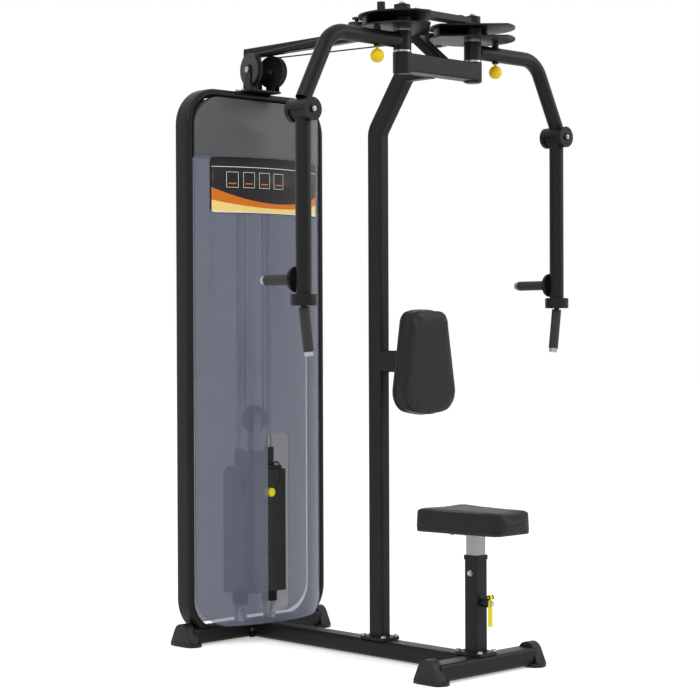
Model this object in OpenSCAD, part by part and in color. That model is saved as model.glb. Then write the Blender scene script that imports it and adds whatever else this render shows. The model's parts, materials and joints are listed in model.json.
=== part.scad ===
// Selectorised pec fly and rear delt machine. Millimetres, +Z up.
// The user sits at -Y, the weight tower stands at +Y, and +X is the user's right.
// The origin is on the floor, midway between the machine's ends and its sides.

/* [Base frame] */
// Distance between the centres of the front and rear cross tubes
wheelbase = 1080; // [980:10:1160]
// Distance from the weight tower's centre to the column's centre
tower_to_column = 632; // [560:2:700]
// Length of the rear cross tube, without its feet
rear_tube_length = 604; // [580:2:760]
// Length of the front cross tube, without its feet
front_tube_length = 450; // [420:10:600]
// Width of the base tubes
base_tube_w = 76; // [70:1:84]
// Height of the base tubes
base_tube_h = 56; // [50:1:64]
// Wall of the base tubes
base_wall = 3; // [2:0.5:5]
// Gap between the base tubes and the floor
base_lift = 5; // [4:1:10]

/* [Column] */
// Column section, side to side
column_w = 42; // [38:1:50]
// Column section, front to back
column_d = 62; // [50:1:70]
// Height at which the column starts to lean forward
column_bend_z = 1735; // [1650:5:1780]
// Column wall
column_wall = 3; // [2:0.5:5]

/* [Arm pivots] */
// Reach of the crossbeam in front of the column's axis
pivot_reach = 272; // [250:2:300]
// Distance from the middle of the machine to each arm pivot
pivot_x = 165; // [160:1:185]
// Height of the crossbeam's centre
crossbeam_z = 1920; // [1900:1:1960]
// Height of the crossbeam's section
crossbeam_h = 58; // [50:1:62]
// Depth of the crossbeam's section
crossbeam_d = 60; // [50:1:64]
// Length of the pivot tubes at the crossbeam's ends
pivot_tube_h = 64; // [62:1:72]
// Radius of the pivot shafts
shaft_r = 12.5; // [10:0.5:15]
// Thickness of the thrust washers
washer_t = 6; // [4:0.5:8]

/* [Arms] */
// Height of an arm's hub
hub_h = 60; // [54:1:70]
// Outer radius of the hubs
hub_r = 28.5; // [26:0.5:31]
// Outer radius of the arm tubes
arm_tube_r = 24; // [20:0.5:26]
// Wall of the arm tubes
arm_wall = 3; // [2:0.5:4]
// Distance from the middle of the machine to the hanging tube
handle_x = 592; // [560:2:620]
// Height of the knuckle that the hanging tube turns on
knuckle_z = 1738; // [1720:1:1770]
// Outer radius of the knuckle
knuckle_r = 35; // [33:0.5:40]
// Width of the knuckle, front to back
knuckle_w = 90; // [80:1:110]
// Height of the hand stop's top face
hand_stop_z = 1190; // [1120:5:1240]
// Outer radius of the grips
grip_r = 16; // [14:0.5:19]
// Length of the rearward grip's rubber
rear_grip_length = 130; // [110:2:150]
// Length of the lower grip's rubber
lower_grip_length = 138; // [110:2:150]
// Inward tilt of the lower grip
lower_grip_tilt = 8; // [0:1:15]

/* [Range cams] */
// Outer radius of the cam plates
cam_r = 139; // [132:1:140]
// Radius on which the cable winds
cable_wrap_r = 128.5; // [124:0.5:129]
// Height of a range cam
cam_h = 42; // [36:1:48]
// Thickness of a cam plate
cam_plate_t = 5; // [4:0.5:7]
// Radius of the circle of range holes
range_hole_circle = 112; // [104:1:113]
// Radius of a range pin
range_pin_r = 5; // [4:0.5:6]

/* [Cables and pulleys] */
// Diameter of the steel cable with its sleeve
cable_d = 5; // [4:0.5:6]
// Half the distance between the two falls of cable in the tower
fall_x = 42; // [38:1:46]
// Groove radius of the tower pulleys, to the cable's centre
tower_pulley_r = 50; // [46:1:54]
// Width of the pulleys
pulley_w = 22; // [18:1:26]

/* [Weight tower] */
// Overall width of the tower frame
tower_w = 640; // [600:10:680]
// Height of the tower frame's top
tower_h = 1920; // [1880:5:1930]
// Depth of the flat oval tower tube
tower_tube_d = 75; // [70:1:82]
// Thickness of the flat oval tower tube
tower_tube_t = 28; // [24:1:32]
// Outer corner radius of the tower frame
tower_corner_r = 131; // [115:1:150]
// How far the front shroud bows forward of the tube
front_crown = 102; // [90:1:120]
// How far the rear shroud bows behind the tube
rear_crown = 27; // [24:1:29]
// Thickness of the shroud sheet
shroud_t = 4; // [3:0.5:5]
// Height of the cap's lower edge
cap_z = 1685; // [1600:5:1720]
// Width of the access slot in the front shroud
slot_w = 100; // [80:2:110]
// Height of the slot's lower end
slot_low_z = 104; // [100:2:140]
// Height of the slot's upper end
slot_high_z = 725; // [680:5:780]

/* [Weight stack] */
// Number of plates in the stack
plate_count = 14; // [12:1:14]
// Number of plates that the pin picks up
lifted_count = 3; // [2:1:6]
// Distance from one plate to the next
plate_pitch = 30.8; // [29:0.2:32]
// Width of a plate
plate_w = 200; // [190:2:210]
// Depth of a plate
plate_d = 114; // [100:2:116]
// Height of the stack's underside
stack_low_z = 161; // [150:1:170]
// Distance from the middle to each guide rod
rod_x = 68; // [62:1:74]
// Radius of the guide rods
rod_r = 10; // [8:0.5:12]
// Radius of the selector rod
selector_r = 11; // [9.5:0.5:13]
// Height of the head casting above the top plate
head_h = 76; // [60:1:90]

/* [Seat and back pad] */
// Distance from the front cross tube's centre back to the seat's centre
seat_setback = 22; // [0:1:30]
// Height of the seat's top
seat_top_z = 518; // [480:2:540]
// Thickness of the seat pad
seat_pad_t = 72; // [60:1:80]
// Length of the seat pad
seat_length = 330; // [300:5:360]
// Width of the seat pad at the back
seat_back_w = 240; // [220:5:270]
// Width of the seat pad at the front
seat_front_w = 180; // [160:5:220]
// Side of the square seat post
seat_post_w = 45; // [40:1:48]
// Wall of the seat sleeve
sleeve_wall = 2.5; // [2:0.5:4]
// Height of the sleeve's top
sleeve_top_z = 374; // [320:2:388]
// Distance between the holes in the seat post
seat_hole_pitch = 40; // [36:1:44]
// Height of the back pad's lower edge
back_pad_low_z = 806; // [760:2:840]
// Height of the back pad
back_pad_h = 341; // [320:1:380]
// Width of the back pad's top
back_pad_top_w = 180; // [160:2:210]
// Width of the back pad near its foot
back_pad_low_w = 240; // [220:2:260]
// Thickness of the back pad
back_pad_t = 57; // [50:1:70]
// Reach of the back pad's face in front of the column's axis
back_pad_reach = 237; // [225:1:250]

/* [Hidden] */
$fn = 48;

LEFT = -1;
RIGHT = 1;
BLACK = "#2b2b2b";
DARK = "#3a3a3c";
STEEL = "#b8babd";
RUBBER = "#1c1c1c";
VINYL = "#242424";
YELLOW = "#e3d21c";
TINT = [0.45, 0.48, 0.55, 0.55];

running = 0.05;    // radial clearance of a shaft in its bore
gap = 0.3;         // clearance between faces that move past each other
eps = 0.5;         // overrun of a cut past the face it opens
lap = 0.15;        // overlap of a straight run into the bend it meets
bend_swell = 1.001; // a bend's section is this much larger than the straight run's
cable_swell = 1.012;

// Places along the machine
// The seat pad's front and the rear shroud's crown lie equally far from the origin
y_shift = (seat_length - tower_tube_d) / 4 - (seat_setback + rear_crown) / 2;
tower_y = wheelbase / 2 + y_shift;
front_y = -wheelbase / 2 + y_shift;
seat_y = front_y + seat_setback;
column_y = tower_y - tower_to_column;
beam_y = column_y - pivot_reach;
stack_y = tower_y - 10;
base_top = base_lift + base_tube_h;
base_corner_r = 14;
flange_t = 8;      // bolted plates at the ends of the base beam
flange_wing = 14;  // how far they stand out on each side of the beam
plate_t = 10;      // base plates under the column and the seat sleeve
column_plate = [80, 112];
seat_plate = [84, 110];
foot_w = 124;      // across the tube, at the floor
foot_l = 66;       // along the tube, at the floor
foot_h = 77;
foot_crown_r = 34; // rounding over the tube
foot_rim_t = 12;
foot_grip = 36;    // length along the tube that a foot wraps
foot_inner = 12;   // how far a foot's back lies inside the tube's end

// The pile on each pivot shaft, from the crossbeam up
pivot_low_z = crossbeam_z - pivot_tube_h / 2;
pivot_top_z = crossbeam_z + pivot_tube_h / 2;
pivot_tube_r = 24;
hub_z = pivot_top_z + washer_t + gap;
arm_z = hub_z + hub_h / 2;
washer_2_z = hub_z + hub_h + gap;
cam_z = washer_2_z + washer_t + gap;
cable_z = cam_z + cam_h / 2;
washer_3_z = cam_z + cam_h + gap;
tie_z = washer_3_z + washer_t;
tie_t = 6;
tie_lip = 14;
tie_w = 50;
tie_post = [19, 74];  // a post's place, outboard of its pivot and behind it
tie_post_r = 13;
tie_post_h = 38;
shaft_cap_h = 22;
pivot_bore_r = shaft_r + running;

// Range cams
range_hole_step = 15;  // degrees between range holes
cam_flat = 0.62 * cam_r;  // from the shaft to the cam's cut-off side
drum_from_y = 40;  // the drum is the part of the rim behind this

// Cable run: tower pulleys, gate between the guide spools, rear of each cam
spool_r = 27;
spool_groove_r = 22.5;
spool_h = 34;
spool_gap = 2;
spool_x = spool_r + spool_gap / 2;
spool_axle_r = 6;
gate_y = beam_y + cam_r + spool_r + 9;
cable_r = cable_d / 2;
cable_yaw = atan2(pivot_x - fall_x, stack_y - gate_y);
pulley_z = cable_z - tower_pulley_r;
pulley_out_r = tower_pulley_r + 7;
pulley_axle_r = 8;
fall_hole_r = cable_r + 5;

// Tower
loop_w = tower_w - tower_tube_t;
loop_low_z = base_top - tower_tube_t / 2 - 3;
loop_bend_r = tower_corner_r - tower_tube_t / 2;
inner_w = tower_w - 2 * tower_tube_t;
front_face_y = tower_y - tower_tube_d / 2;
rear_face_y = tower_y + tower_tube_d / 2;
shroud_low_z = base_top + 4;
shroud_corner_r = tower_corner_r - tower_tube_t;
cap_top_z = tower_h - tower_tube_t - 2;
cap_crease_z = cap_z + 80;
bow_return = 8;    // how far a bowed sheet's edge reaches in past the tube's face
bracket_plate_t = 6;
bracket_w = 140;
bracket_d = 104;
bracket_y = stack_y - 24;
bracket_bolt_x = 58;
bracket_bolt_y = 16; // from the stack's axis, over the tower tube
post_w = 36;       // the post that lifts the top beam off the bracket
post_d = 52;
cheek_w = 36;
cheek_t = 4;
top_beam_w = 40;
top_beam_h = 34;
top_beam_z = cable_z + 17;
top_beam_bend_y = beam_y + 138;

// Stack
plate_h = plate_pitch - 0.4;
stack_top_z = stack_low_z + plate_count * plate_pitch;
pin_plate = plate_count - lifted_count;
pin_z = stack_low_z + (pin_plate + 0.5) * plate_pitch - 0.2;
pin_r = 4.8;
pin_hole_r = 5.2;
rod_bore_r = rod_r + 0.08;
selector_bore_r = selector_r + 0.6;
head_r = 18;
head_web = 26;
float_r = fall_x;
float_out_r = float_r + 7;
float_z = stack_top_z + head_h + 102;
yoke_t = 5;
yoke_w = 34;
knob_r = 15;
knob_l = 24;
bumper_h = 40;
bumper_r = 28;

// The lanyard's route, about the stack's axis
lanyard_r = 4;
lanyard_route = [
    [34, -41, 608.5], [34, -52, 610], [34, -64, 615], [34, -76, 619], [34, -86, 618], [34, -93, 612],
    [34, -97, 603], [33, -99, 592], [32, -100, 580], [30, -100, 567], [27, -99, 555], [22, -96, 544],
    [17, -92, 536], [13, -88, 531]];

// Arms
arm_bend_r = 92;
arm_shoulder_x = handle_x - 114;
knuckle_top_z = knuckle_z + 33;
knuckle_cheek = 15;
knuckle_hub_r = knuckle_r - 4.7 - gap;
knuckle_hub_w = knuckle_w - 2 * knuckle_cheek - 2 * gap;
knuckle_bolt_r = 8;
drain_r = 4;
bush_r = 11;
ball_r = 21.5;
bush_low_z = arm_z - arm_tube_r - 5.5;
bush_top_z = cam_z - 2;
pin_entry = 6;     // how far a range pin rises into the cam's plate
ball_z = bush_low_z - pin_entry - gap - ball_r;
pin_tip_z = cam_z - gap;
stop_r = 40;
stop_h = 35;
rear_grip_z = hand_stop_z + 44;
rear_stop_t = 12;
ferrule_l = 13;
core_r = 9;

// Seat
sleeve_w = seat_post_w + 2 * sleeve_wall + 1;
seat_low_z = seat_top_z - seat_pad_t;
seat_plate_under = 6;
seat_post_low_z = 120;
seat_hole_count = 5;
lock_z = 226;
lock_pin_r = 6;
lock_neck_r = 3.5; // the pin's neck, through the lever's slot
lock_head_r = 7;
lock_head_t = 5;
housing_r = 13;
housing_l = 30;
housing_y = seat_y - sleeve_w / 2 - housing_l;  // the housing's front face
lever_t = 8;
lever_w = 12;
lever_y = housing_y - 0.5 - lever_t / 2;
lever_hinge_z = lock_z + 20;
lever_l = 92;      // from the hinge down
lever_hub_r = 6;
lever_pin_r = 2.9;
lever_slot = [8.4, 15];
ear_t = 3;

// ---------- shared shapes ----------

function unit(v) = v / norm(v);
function turn(a, b) = atan2(a.x * b.y - a.y * b.x, a * b);

// Puts a shape drawn for the right side on either side
module on_side(side) {
    if (side == LEFT) mirror([1, 0, 0]) children();
    else children();
}

// Stands a drawing up so that its x runs along X and its y along Z
module upright_x() rotate([90, 0, 0]) children();

// Stands a drawing up so that its x runs along Y and its y along Z
module upright_y() rotate([90, 0, 90]) children();

// Sweeps the child section along a flat path with a bend at each inner point
module bent_bar(points, bend_r, swell = bend_swell) {
    last = len(points) - 1;
    dirs = [for (i = [0:last - 1]) unit(points[i + 1] - points[i])];
    turns = [for (i = [0:last]) (i == 0 || i == last) ? 0 : turn(dirs[i - 1], dirs[i])];
    cuts = [for (t = turns) bend_r * tan(abs(t) / 2)];
    for (i = [0:last - 1]) {
        start = points[i] + dirs[i] * cuts[i];
        length = norm(points[i + 1] - points[i]) - cuts[i] - cuts[i + 1];
        translate([start.x, start.y, 0])
            rotate([0, 0, atan2(dirs[i].y, dirs[i].x)])
            rotate([90, 0, 90])
            translate([0, 0, i > 0 ? -lap : 0])
            linear_extrude(length + (i > 0 ? lap : 0) + (i < last - 1 ? lap : 0)) children();
    }
    if (last > 1) for (i = [1:last - 1]) {
        start = points[i] - dirs[i - 1] * cuts[i];
        hand = sign(turns[i]);
        centre = start + hand * bend_r * [-dirs[i - 1].y, dirs[i - 1].x];
        from = atan2(start.y - centre.y, start.x - centre.x);
        translate([centre.x, centre.y, 0])
            rotate([0, 0, hand > 0 ? from : from - abs(turns[i])])
            rotate_extrude(angle = abs(turns[i]))
            translate([bend_r, 0]) scale(swell) children();
    }
}

// A rectangle with round corners, centred
module round_rect(w, h, r) {
    square([w - 2 * r, h], center = true);
    square([w, h - 2 * r], center = true);
    for (x = [-1, 1], y = [-1, 1])
        translate([x * (w / 2 - r), y * (h / 2 - r)]) circle(r);
}

// A flat oval, w wide along x and h long along y
module flat_oval(w, h) {
    square([w, h - w], center = true);
    for (y = [-1, 1]) translate([0, y * (h - w) / 2]) circle(w / 2);
}

// A hollow bar with the given outer and inner rounded sections
module box_tube(length, w, h, r, wall) {
    linear_extrude(length) difference() {
        round_rect(w, h, r);
        round_rect(w - 2 * wall, h - 2 * wall, r - wall);
    }
}

// A hex bolt head on its washer, standing on z = 0
module bolt_head(r) {
    cylinder(r = 1.9 * r, h = 0.3 * r);
    translate([0, 0, 0.3 * r]) cylinder(r = 1.6 * r, h = 1.1 * r, $fn = 6);
}

// A grooved wheel about Z, centred, with its bore
module grooved_wheel(out_r, groove_r, width, bore_r) {
    lip = 0.14 * width;
    waist = 0.26 * width;
    rotate_extrude() polygon([
        [bore_r, -width / 2], [out_r, -width / 2], [out_r, -width / 2 + lip],
        [groove_r, -waist / 2], [groove_r, waist / 2],
        [out_r, width / 2 - lip], [out_r, width / 2], [bore_r, width / 2]]);
}

// ---------- base ----------

module rear_cross_tube() color(BLACK)
    translate([-rear_tube_length / 2, tower_y, base_lift + base_tube_h / 2])
    rotate([90, 0, 90]) box_tube(rear_tube_length, base_tube_w, base_tube_h, base_corner_r, base_wall);

module front_cross_tube() color(BLACK)
    translate([-front_tube_length / 2, front_y, base_lift + base_tube_h / 2])
    rotate([90, 0, 90]) box_tube(front_tube_length, base_tube_w, base_tube_h, base_corner_r, base_wall);

// The beam that joins the cross tubes, with a flange plate at each end
module base_beam() color(BLACK) {
    from = front_y + base_tube_w / 2;
    length = wheelbase - base_tube_w;
    translate([0, from + length, base_lift + base_tube_h / 2]) rotate([90, 0, 0])
        box_tube(length, base_tube_w, base_tube_h, base_corner_r, base_wall);
    for (y = [from, from + length - flange_t])
        translate([-base_tube_w / 2 - flange_wing, y, base_lift])
            cube([base_tube_w + 2 * flange_wing, flange_t, base_tube_h - 4]);
}

// A moulded rubber foot over the end of a cross tube
module foot(x_side, y, tube_length) color(RUBBER)
    translate([x_side * tube_length / 2, y, 0]) on_side(x_side) difference() {
        union() {
            hull() for (s = [-1, 1]) translate([2, s * (foot_w - foot_l) / 2, 0])
                cylinder(r = foot_l / 2, h = foot_rim_t, $fn = 32);
            hull() {
                translate([-foot_inner + 4, 0, foot_h - foot_crown_r]) rotate([0, 90, 0])
                    cylinder(r = foot_crown_r, h = foot_grip + 2, $fn = 32);
                translate([-foot_inner, -foot_w / 2 + 12, 0]) cube([foot_grip + 8, foot_w - 24, foot_rim_t]);
            }
        }
        translate([-foot_grip, 0, base_lift + base_tube_h / 2]) rotate([90, 0, 90])
            linear_extrude(foot_grip) round_rect(base_tube_w, base_tube_h, base_corner_r);
    }

module foot_rear_left() foot(LEFT, tower_y, rear_tube_length);
module foot_rear_right() foot(RIGHT, tower_y, rear_tube_length);
module foot_front_left() foot(LEFT, front_y, front_tube_length);
module foot_front_right() foot(RIGHT, front_y, front_tube_length);

// ---------- column and head frame ----------

// Path of the column in the Y-Z plane: up, leaning forward, then level to the crossbeam
column_lean = 35;
column_path = [
    [column_y, base_top + plate_t - 3],
    [column_y, column_bend_z],
    [column_y - (crossbeam_z - column_bend_z) * tan(column_lean), crossbeam_z],
    [beam_y + crossbeam_d / 2, crossbeam_z]];
neck_bend_r = 48;
column_corner_r = 8;

module column() color(BLACK) {
    upright_y() difference() {
        bent_bar(column_path, neck_bend_r) round_rect(column_d, column_w, column_corner_r);
        bent_bar(column_path, neck_bend_r)
            round_rect(column_d - 2 * column_wall, column_w - 2 * column_wall, column_corner_r - column_wall);
    }
    translate([0, column_y, base_top]) linear_extrude(plate_t)
        round_rect(column_plate.x, column_plate.y, 8);
}

module crossbeam() color(BLACK) difference() {
    union() {
        translate([-pivot_x, beam_y, crossbeam_z]) rotate([90, 0, 90])
            box_tube(2 * pivot_x, crossbeam_d, crossbeam_h, 6, 4);
        for (side = [LEFT, RIGHT]) translate([side * pivot_x, beam_y, pivot_low_z])
            cylinder(r = crossbeam_d / 2, h = pivot_tube_h);
    }
    for (side = [LEFT, RIGHT]) translate([side * pivot_x, beam_y, pivot_low_z - eps])
        cylinder(r = shaft_r, h = pivot_tube_h + 2 * eps);
}

// Tube from the tower's pulley bracket forward, then down as a strut cut flat on the crossbeam
strut_foot = [beam_y + 2, crossbeam_z + crossbeam_h / 2 + 4];
strut_knee = [top_beam_bend_y, top_beam_z];
top_beam_path = [[stack_y + post_d / 2, top_beam_z], strut_knee, strut_foot + 30 * unit(strut_foot - strut_knee)];

module top_beam() color(BLACK) upright_y() difference() {
    bent_bar(top_beam_path, 40) round_rect(top_beam_h, top_beam_w, 7);
    bent_bar(top_beam_path, 40) round_rect(top_beam_h - 5, top_beam_w - 5, 4.5);
    translate([beam_y - crossbeam_d, crossbeam_z + crossbeam_h / 2 - 80, -top_beam_w])
        cube([2 * crossbeam_d, 80, 2 * top_beam_w]);
}

// One tower pulley's frame: its axle is along local X, at the origin
module at_tower_pulley(side)
    translate([side * fall_x, stack_y, pulley_z]) on_side(side)
    rotate([0, 0, cable_yaw]) translate([0, -tower_pulley_r, 0]) children();

module pulley_bracket() color(BLACK) difference() {
    union() {
        translate([0, bracket_y, tower_h]) linear_extrude(bracket_plate_t) round_rect(bracket_w, bracket_d, 8);
        translate([-post_w / 2, stack_y - post_d / 2, tower_h + bracket_plate_t])
            cube([post_w, post_d, top_beam_z - top_beam_h / 2 - tower_h - bracket_plate_t]);
        for (side = [LEFT, RIGHT]) at_tower_pulley(side) for (x = [-1, 1])
            translate([x * (pulley_w / 2 + 1 + cheek_t / 2) - cheek_t / 2, 0, 0]) rotate([90, 0, 90])
                linear_extrude(cheek_t) union() {
                    translate([-cheek_w / 2, tower_h + 1 - pulley_z]) square([cheek_w, pulley_z - tower_h - 1]);
                    circle(cheek_w / 2);
                }
    }
    for (side = [LEFT, RIGHT]) at_tower_pulley(side) rotate([0, 90, 0])
        cylinder(r = pulley_axle_r, h = 60, center = true);
    for (side = [LEFT, RIGHT]) translate([side * fall_x, stack_y, tower_h - eps])
        cylinder(r = fall_hole_r, h = bracket_plate_t + 2 * eps);
}

// ---------- pivots ----------

module at_pivot(side) translate([side * pivot_x, beam_y, 0]) children();

module pivot_shafts() color(STEEL) for (side = [LEFT, RIGHT]) at_pivot(side) {
    translate([0, 0, pivot_low_z - 3]) cylinder(r = pivot_tube_r - 1, h = 3);
    translate([0, 0, pivot_low_z]) cylinder(r = shaft_r, h = tie_z + tie_t - pivot_low_z);
    translate([0, 0, tie_z + tie_t]) cylinder(r = 26, h = shaft_cap_h);
    translate([0, 0, tie_z + tie_t + shaft_cap_h]) cylinder(r = 9, h = 6, $fn = 6);
}

module thrust_washers() color(STEEL) for (side = [LEFT, RIGHT]) at_pivot(side)
    for (z = [pivot_top_z, washer_2_z, washer_3_z]) translate([0, 0, z]) difference() {
        cylinder(r = hub_r - 1, h = washer_t);
        translate([0, 0, -eps]) cylinder(r = shaft_r, h = washer_t + 2 * eps);
    }

// The bent plate that ties the two shafts together and holds the guide spools' axles
module shaft_tie_plate() color(BLACK) difference() {
    union() {
        translate([0, 0, tie_z]) linear_extrude(tie_t) union() {
            translate([-pivot_x, beam_y - tie_w / 2]) square([2 * pivot_x, tie_w]);
            for (side = [LEFT, RIGHT]) at_pivot(side) {
                circle(tie_w / 2 + 4);
                translate([-tie_w / 2, 0]) square([tie_w, gate_y - beam_y]);
                translate([side * tie_post.x, tie_post.y]) circle(tie_post_r + 3);
                translate([0, gate_y - beam_y]) square([2 * spool_x, tie_w / 2], center = true);
                for (x = [-1, 1]) translate([x * spool_x, gate_y - beam_y]) circle(tie_w / 4 + 2);
            }
        }
        for (y = [beam_y - tie_w / 2, beam_y + tie_w / 2 - 4])
            translate([-pivot_x + 34, y, tie_z + tie_t]) cube([2 * pivot_x - 68, 4, tie_lip]);
        for (side = [LEFT, RIGHT]) at_pivot(side) {
            translate([side * tie_post.x, tie_post.y, tie_z + tie_t]) cylinder(r = tie_post_r, h = tie_post_h);
            for (x = [-1, 1]) translate([x * spool_x, gate_y - beam_y, cable_z - spool_h / 2 - 4]) {
                cylinder(r = spool_axle_r, h = tie_z - cable_z + spool_h / 2 + 4);
                cylinder(r = spool_axle_r + 4, h = 3.5);
            }
        }
    }
    for (side = [LEFT, RIGHT]) at_pivot(side)
        translate([0, 0, tie_z - eps]) cylinder(r = shaft_r, h = tie_t + 2 * eps);
}

module guide_spool(side, hand) color(DARK)
    translate([side * (pivot_x + hand * spool_x), gate_y, cable_z])
    grooved_wheel(spool_r, spool_groove_r, spool_h, spool_axle_r + running);

module guide_spool_left_outer() guide_spool(LEFT, 1);
module guide_spool_left_inner() guide_spool(LEFT, -1);
module guide_spool_right_inner() guide_spool(RIGHT, -1);
module guide_spool_right_outer() guide_spool(RIGHT, 1);

// A pair of plates about the shaft, with the drum the cable winds on and the range holes
module range_cam(side) color(DARK) at_pivot(side) on_side(side) difference() {
    union() {
        for (z = [cam_z, cam_z + cam_h - cam_plate_t]) translate([0, 0, z]) linear_extrude(cam_plate_t)
            difference() {
                circle(cam_r, $fn = 96);
                rotate([0, 0, 225]) translate([cam_flat, -cam_r]) square([cam_r, 2 * cam_r]);
            }
        translate([0, 0, cam_z + cam_plate_t]) linear_extrude(cam_h - 2 * cam_plate_t)
            intersection() {
                difference() {
                    circle(cable_wrap_r - cable_r - gap, $fn = 96);
                    circle(cable_wrap_r - cable_r - 6, $fn = 96);
                }
                translate([-cam_r, drum_from_y]) square([2 * cam_r, cam_r]);
            }
        translate([0, 0, cam_z]) cylinder(r = hub_r, h = cam_h);
    }
    translate([0, 0, cam_z - eps]) cylinder(r = pivot_bore_r, h = cam_h + 2 * eps);
    for (a = [-5:5]) rotate([0, 0, a * range_hole_step])
        translate([range_hole_circle, 0, cam_z - eps])
        cylinder(r = range_pin_r + gap, h = cam_plate_t + 2 * eps);
}

module range_cam_left() range_cam(LEFT);
module range_cam_right() range_cam(RIGHT);

// ---------- cables ----------

module cable_section() circle(cable_r, $fn = 24);

// Over the tower pulley, through the gate and on to the rear of the cam
module arm_cable(side) on_side(side) {
    heading = [sin(cable_yaw), -cos(cable_yaw)];
    top = [fall_x, stack_y] + (tower_pulley_r - lap) * heading;
    at_tower_pulley(RIGHT) upright_y() rotate_extrude(angle = 90)
        translate([tower_pulley_r, 0]) scale(cable_swell) cable_section();
    translate([0, 0, cable_z])
        bent_bar([top, [pivot_x, gate_y], [pivot_x, beam_y + cable_wrap_r]], 40, cable_swell) cable_section();
}

module arm_cables() color("#111111") for (side = [LEFT, RIGHT]) arm_cable(side);

module lift_cables() color("#111111") for (side = [LEFT, RIGHT])
    translate([side * fall_x, stack_y, float_z]) cylinder(r = cable_r, h = pulley_z - float_z, $fn = 24);

module cable_loop() color("#111111") translate([0, stack_y, float_z])
    upright_x() rotate([0, 0, 180]) rotate_extrude(angle = 180) translate([float_r, 0]) cable_section();

module tower_pulley(side) color(DARK) at_tower_pulley(side) rotate([0, 90, 0])
    grooved_wheel(pulley_out_r, tower_pulley_r - cable_r - gap, pulley_w, pulley_axle_r + running);

module tower_pulley_left() tower_pulley(LEFT);
module tower_pulley_right() tower_pulley(RIGHT);

module floating_pulley() color(DARK) translate([0, stack_y, float_z]) rotate([90, 0, 0])
    grooved_wheel(float_out_r, float_r - cable_r - gap, pulley_w, pulley_axle_r + running);

// ---------- tower ----------

module tower_frame() color(BLACK) translate([0, tower_y, 0]) difference() {
    path = [[-loop_w / 4, loop_low_z], [-loop_w / 2, loop_low_z], [-loop_w / 2, tower_h - tower_tube_t / 2],
        [loop_w / 2, tower_h - tower_tube_t / 2], [loop_w / 2, loop_low_z], [loop_w / 4, loop_low_z]];
    upright_x() bent_bar(path, loop_bend_r) flat_oval(tower_tube_t, tower_tube_d);
    upright_x() bent_bar(path, loop_bend_r) flat_oval(tower_tube_t - 6, tower_tube_d - 6);
    translate([-tower_w / 2 - 1, -tower_tube_d, -1]) cube([tower_w + 2, 2 * tower_tube_d, base_top + 1]);
    for (side = [LEFT, RIGHT]) translate([side * fall_x, stack_y - tower_y, tower_h - 2 * tower_tube_t])
        cylinder(r = fall_hole_r, h = 3 * tower_tube_t);
    for (side = [LEFT, RIGHT]) translate([side * rod_x, stack_y - tower_y, tower_h - 2 * tower_tube_t])
        cylinder(r = rod_r, h = 2 * tower_tube_t - 4);
}

// Everything behind a bowed sheet in plan, back to a little inside the tube's face
module bow(crown, inset) {
    r = (pow(inner_w / 2, 2) + crown * crown) / (2 * crown);
    intersection() {
        translate([0, r - crown]) circle(r - inset, $fn = 180);
        translate([-inner_w / 2, -crown - 1]) square([inner_w, crown + 1 + bow_return]);
    }
}

// The outline of the opening inside the tower frame, extruded along Y
module opening_outline(low, high, inset) upright_x() linear_extrude(400, center = true)
    translate([0, (low + high) / 2]) round_rect(inner_w - 2 * inset, high - low, shroud_corner_r - inset);

// A bowed sheet between two heights, lower corners rounded, on the front or the rear
module shroud_sheet(crown, side_y, face_y) translate([0, face_y, 0]) mirror([0, side_y > 0 ? 1 : 0, 0])
    intersection() {
        difference() {
            linear_extrude(cap_z) bow(crown, 0);
            translate([0, 0, -1]) linear_extrude(cap_z + 2) translate([0, 1]) bow(crown, shroud_t);
            translate([0, 0, -1]) linear_extrude(cap_z + 2) bow(crown, shroud_t);
        }
        opening_outline(shroud_low_z, tower_h, 0.5);
    }

module front_shroud() color(TINT) difference() {
    shroud_sheet(front_crown, -1, front_face_y);
    translate([0, front_face_y - front_crown, (slot_low_z + slot_high_z) / 2]) upright_x()
        linear_extrude(60, center = true) round_rect(slot_w, slot_high_z - slot_low_z, 22);
}

module rear_shroud() color(TINT) shroud_sheet(rear_crown, 1, rear_face_y);

// The moulded cap over the top of each shroud: bowed below its crease, sloping back above it
module cap_solid(crown, inset) intersection() {
    translate([0, 0, cap_z + (inset > 0 ? -1 : 0.3)]) linear_extrude(tower_h) union() {
        bow(crown, inset);
        if (inset > 0) translate([0, 1]) bow(crown, inset);
    }
    opening_outline(cap_z - 200, cap_top_z, 0.5 + inset);
    upright_y() linear_extrude(tower_w, center = true) polygon([
        [bow_return + 2, cap_z - 10], [-crown - 2, cap_z - 10], [-crown + inset * 0.7, cap_crease_z],
        [-10 + inset * 0.7, cap_top_z + 2], [bow_return + 2, cap_top_z + 2]]);
}

module cap_shell(crown) difference() {
    cap_solid(crown, 0);
    cap_solid(crown, shroud_t);
}

module top_cap() color(DARK) {
    translate([0, front_face_y, 0]) cap_shell(front_crown);
    translate([0, rear_face_y, 0]) mirror([0, 1, 0]) cap_shell(rear_crown);
}

module guide_rods() color(STEEL) for (side = [LEFT, RIGHT]) translate([side * rod_x, stack_y, 0]) {
    translate([0, 0, base_top]) cylinder(r = rod_r, h = tower_h - tower_tube_t / 2 - base_top);
    translate([0, 0, base_top]) cylinder(r = 22, h = stack_low_z - bumper_h - base_top);
}

module bump_stops() color(RUBBER) for (side = [LEFT, RIGHT])
    translate([side * rod_x, stack_y, stack_low_z - bumper_h]) difference() {
        cylinder(r = bumper_r, h = bumper_h);
        translate([0, 0, -eps]) cylinder(r = rod_r, h = bumper_h + 2 * eps);
    }

// ---------- weight stack ----------

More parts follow.
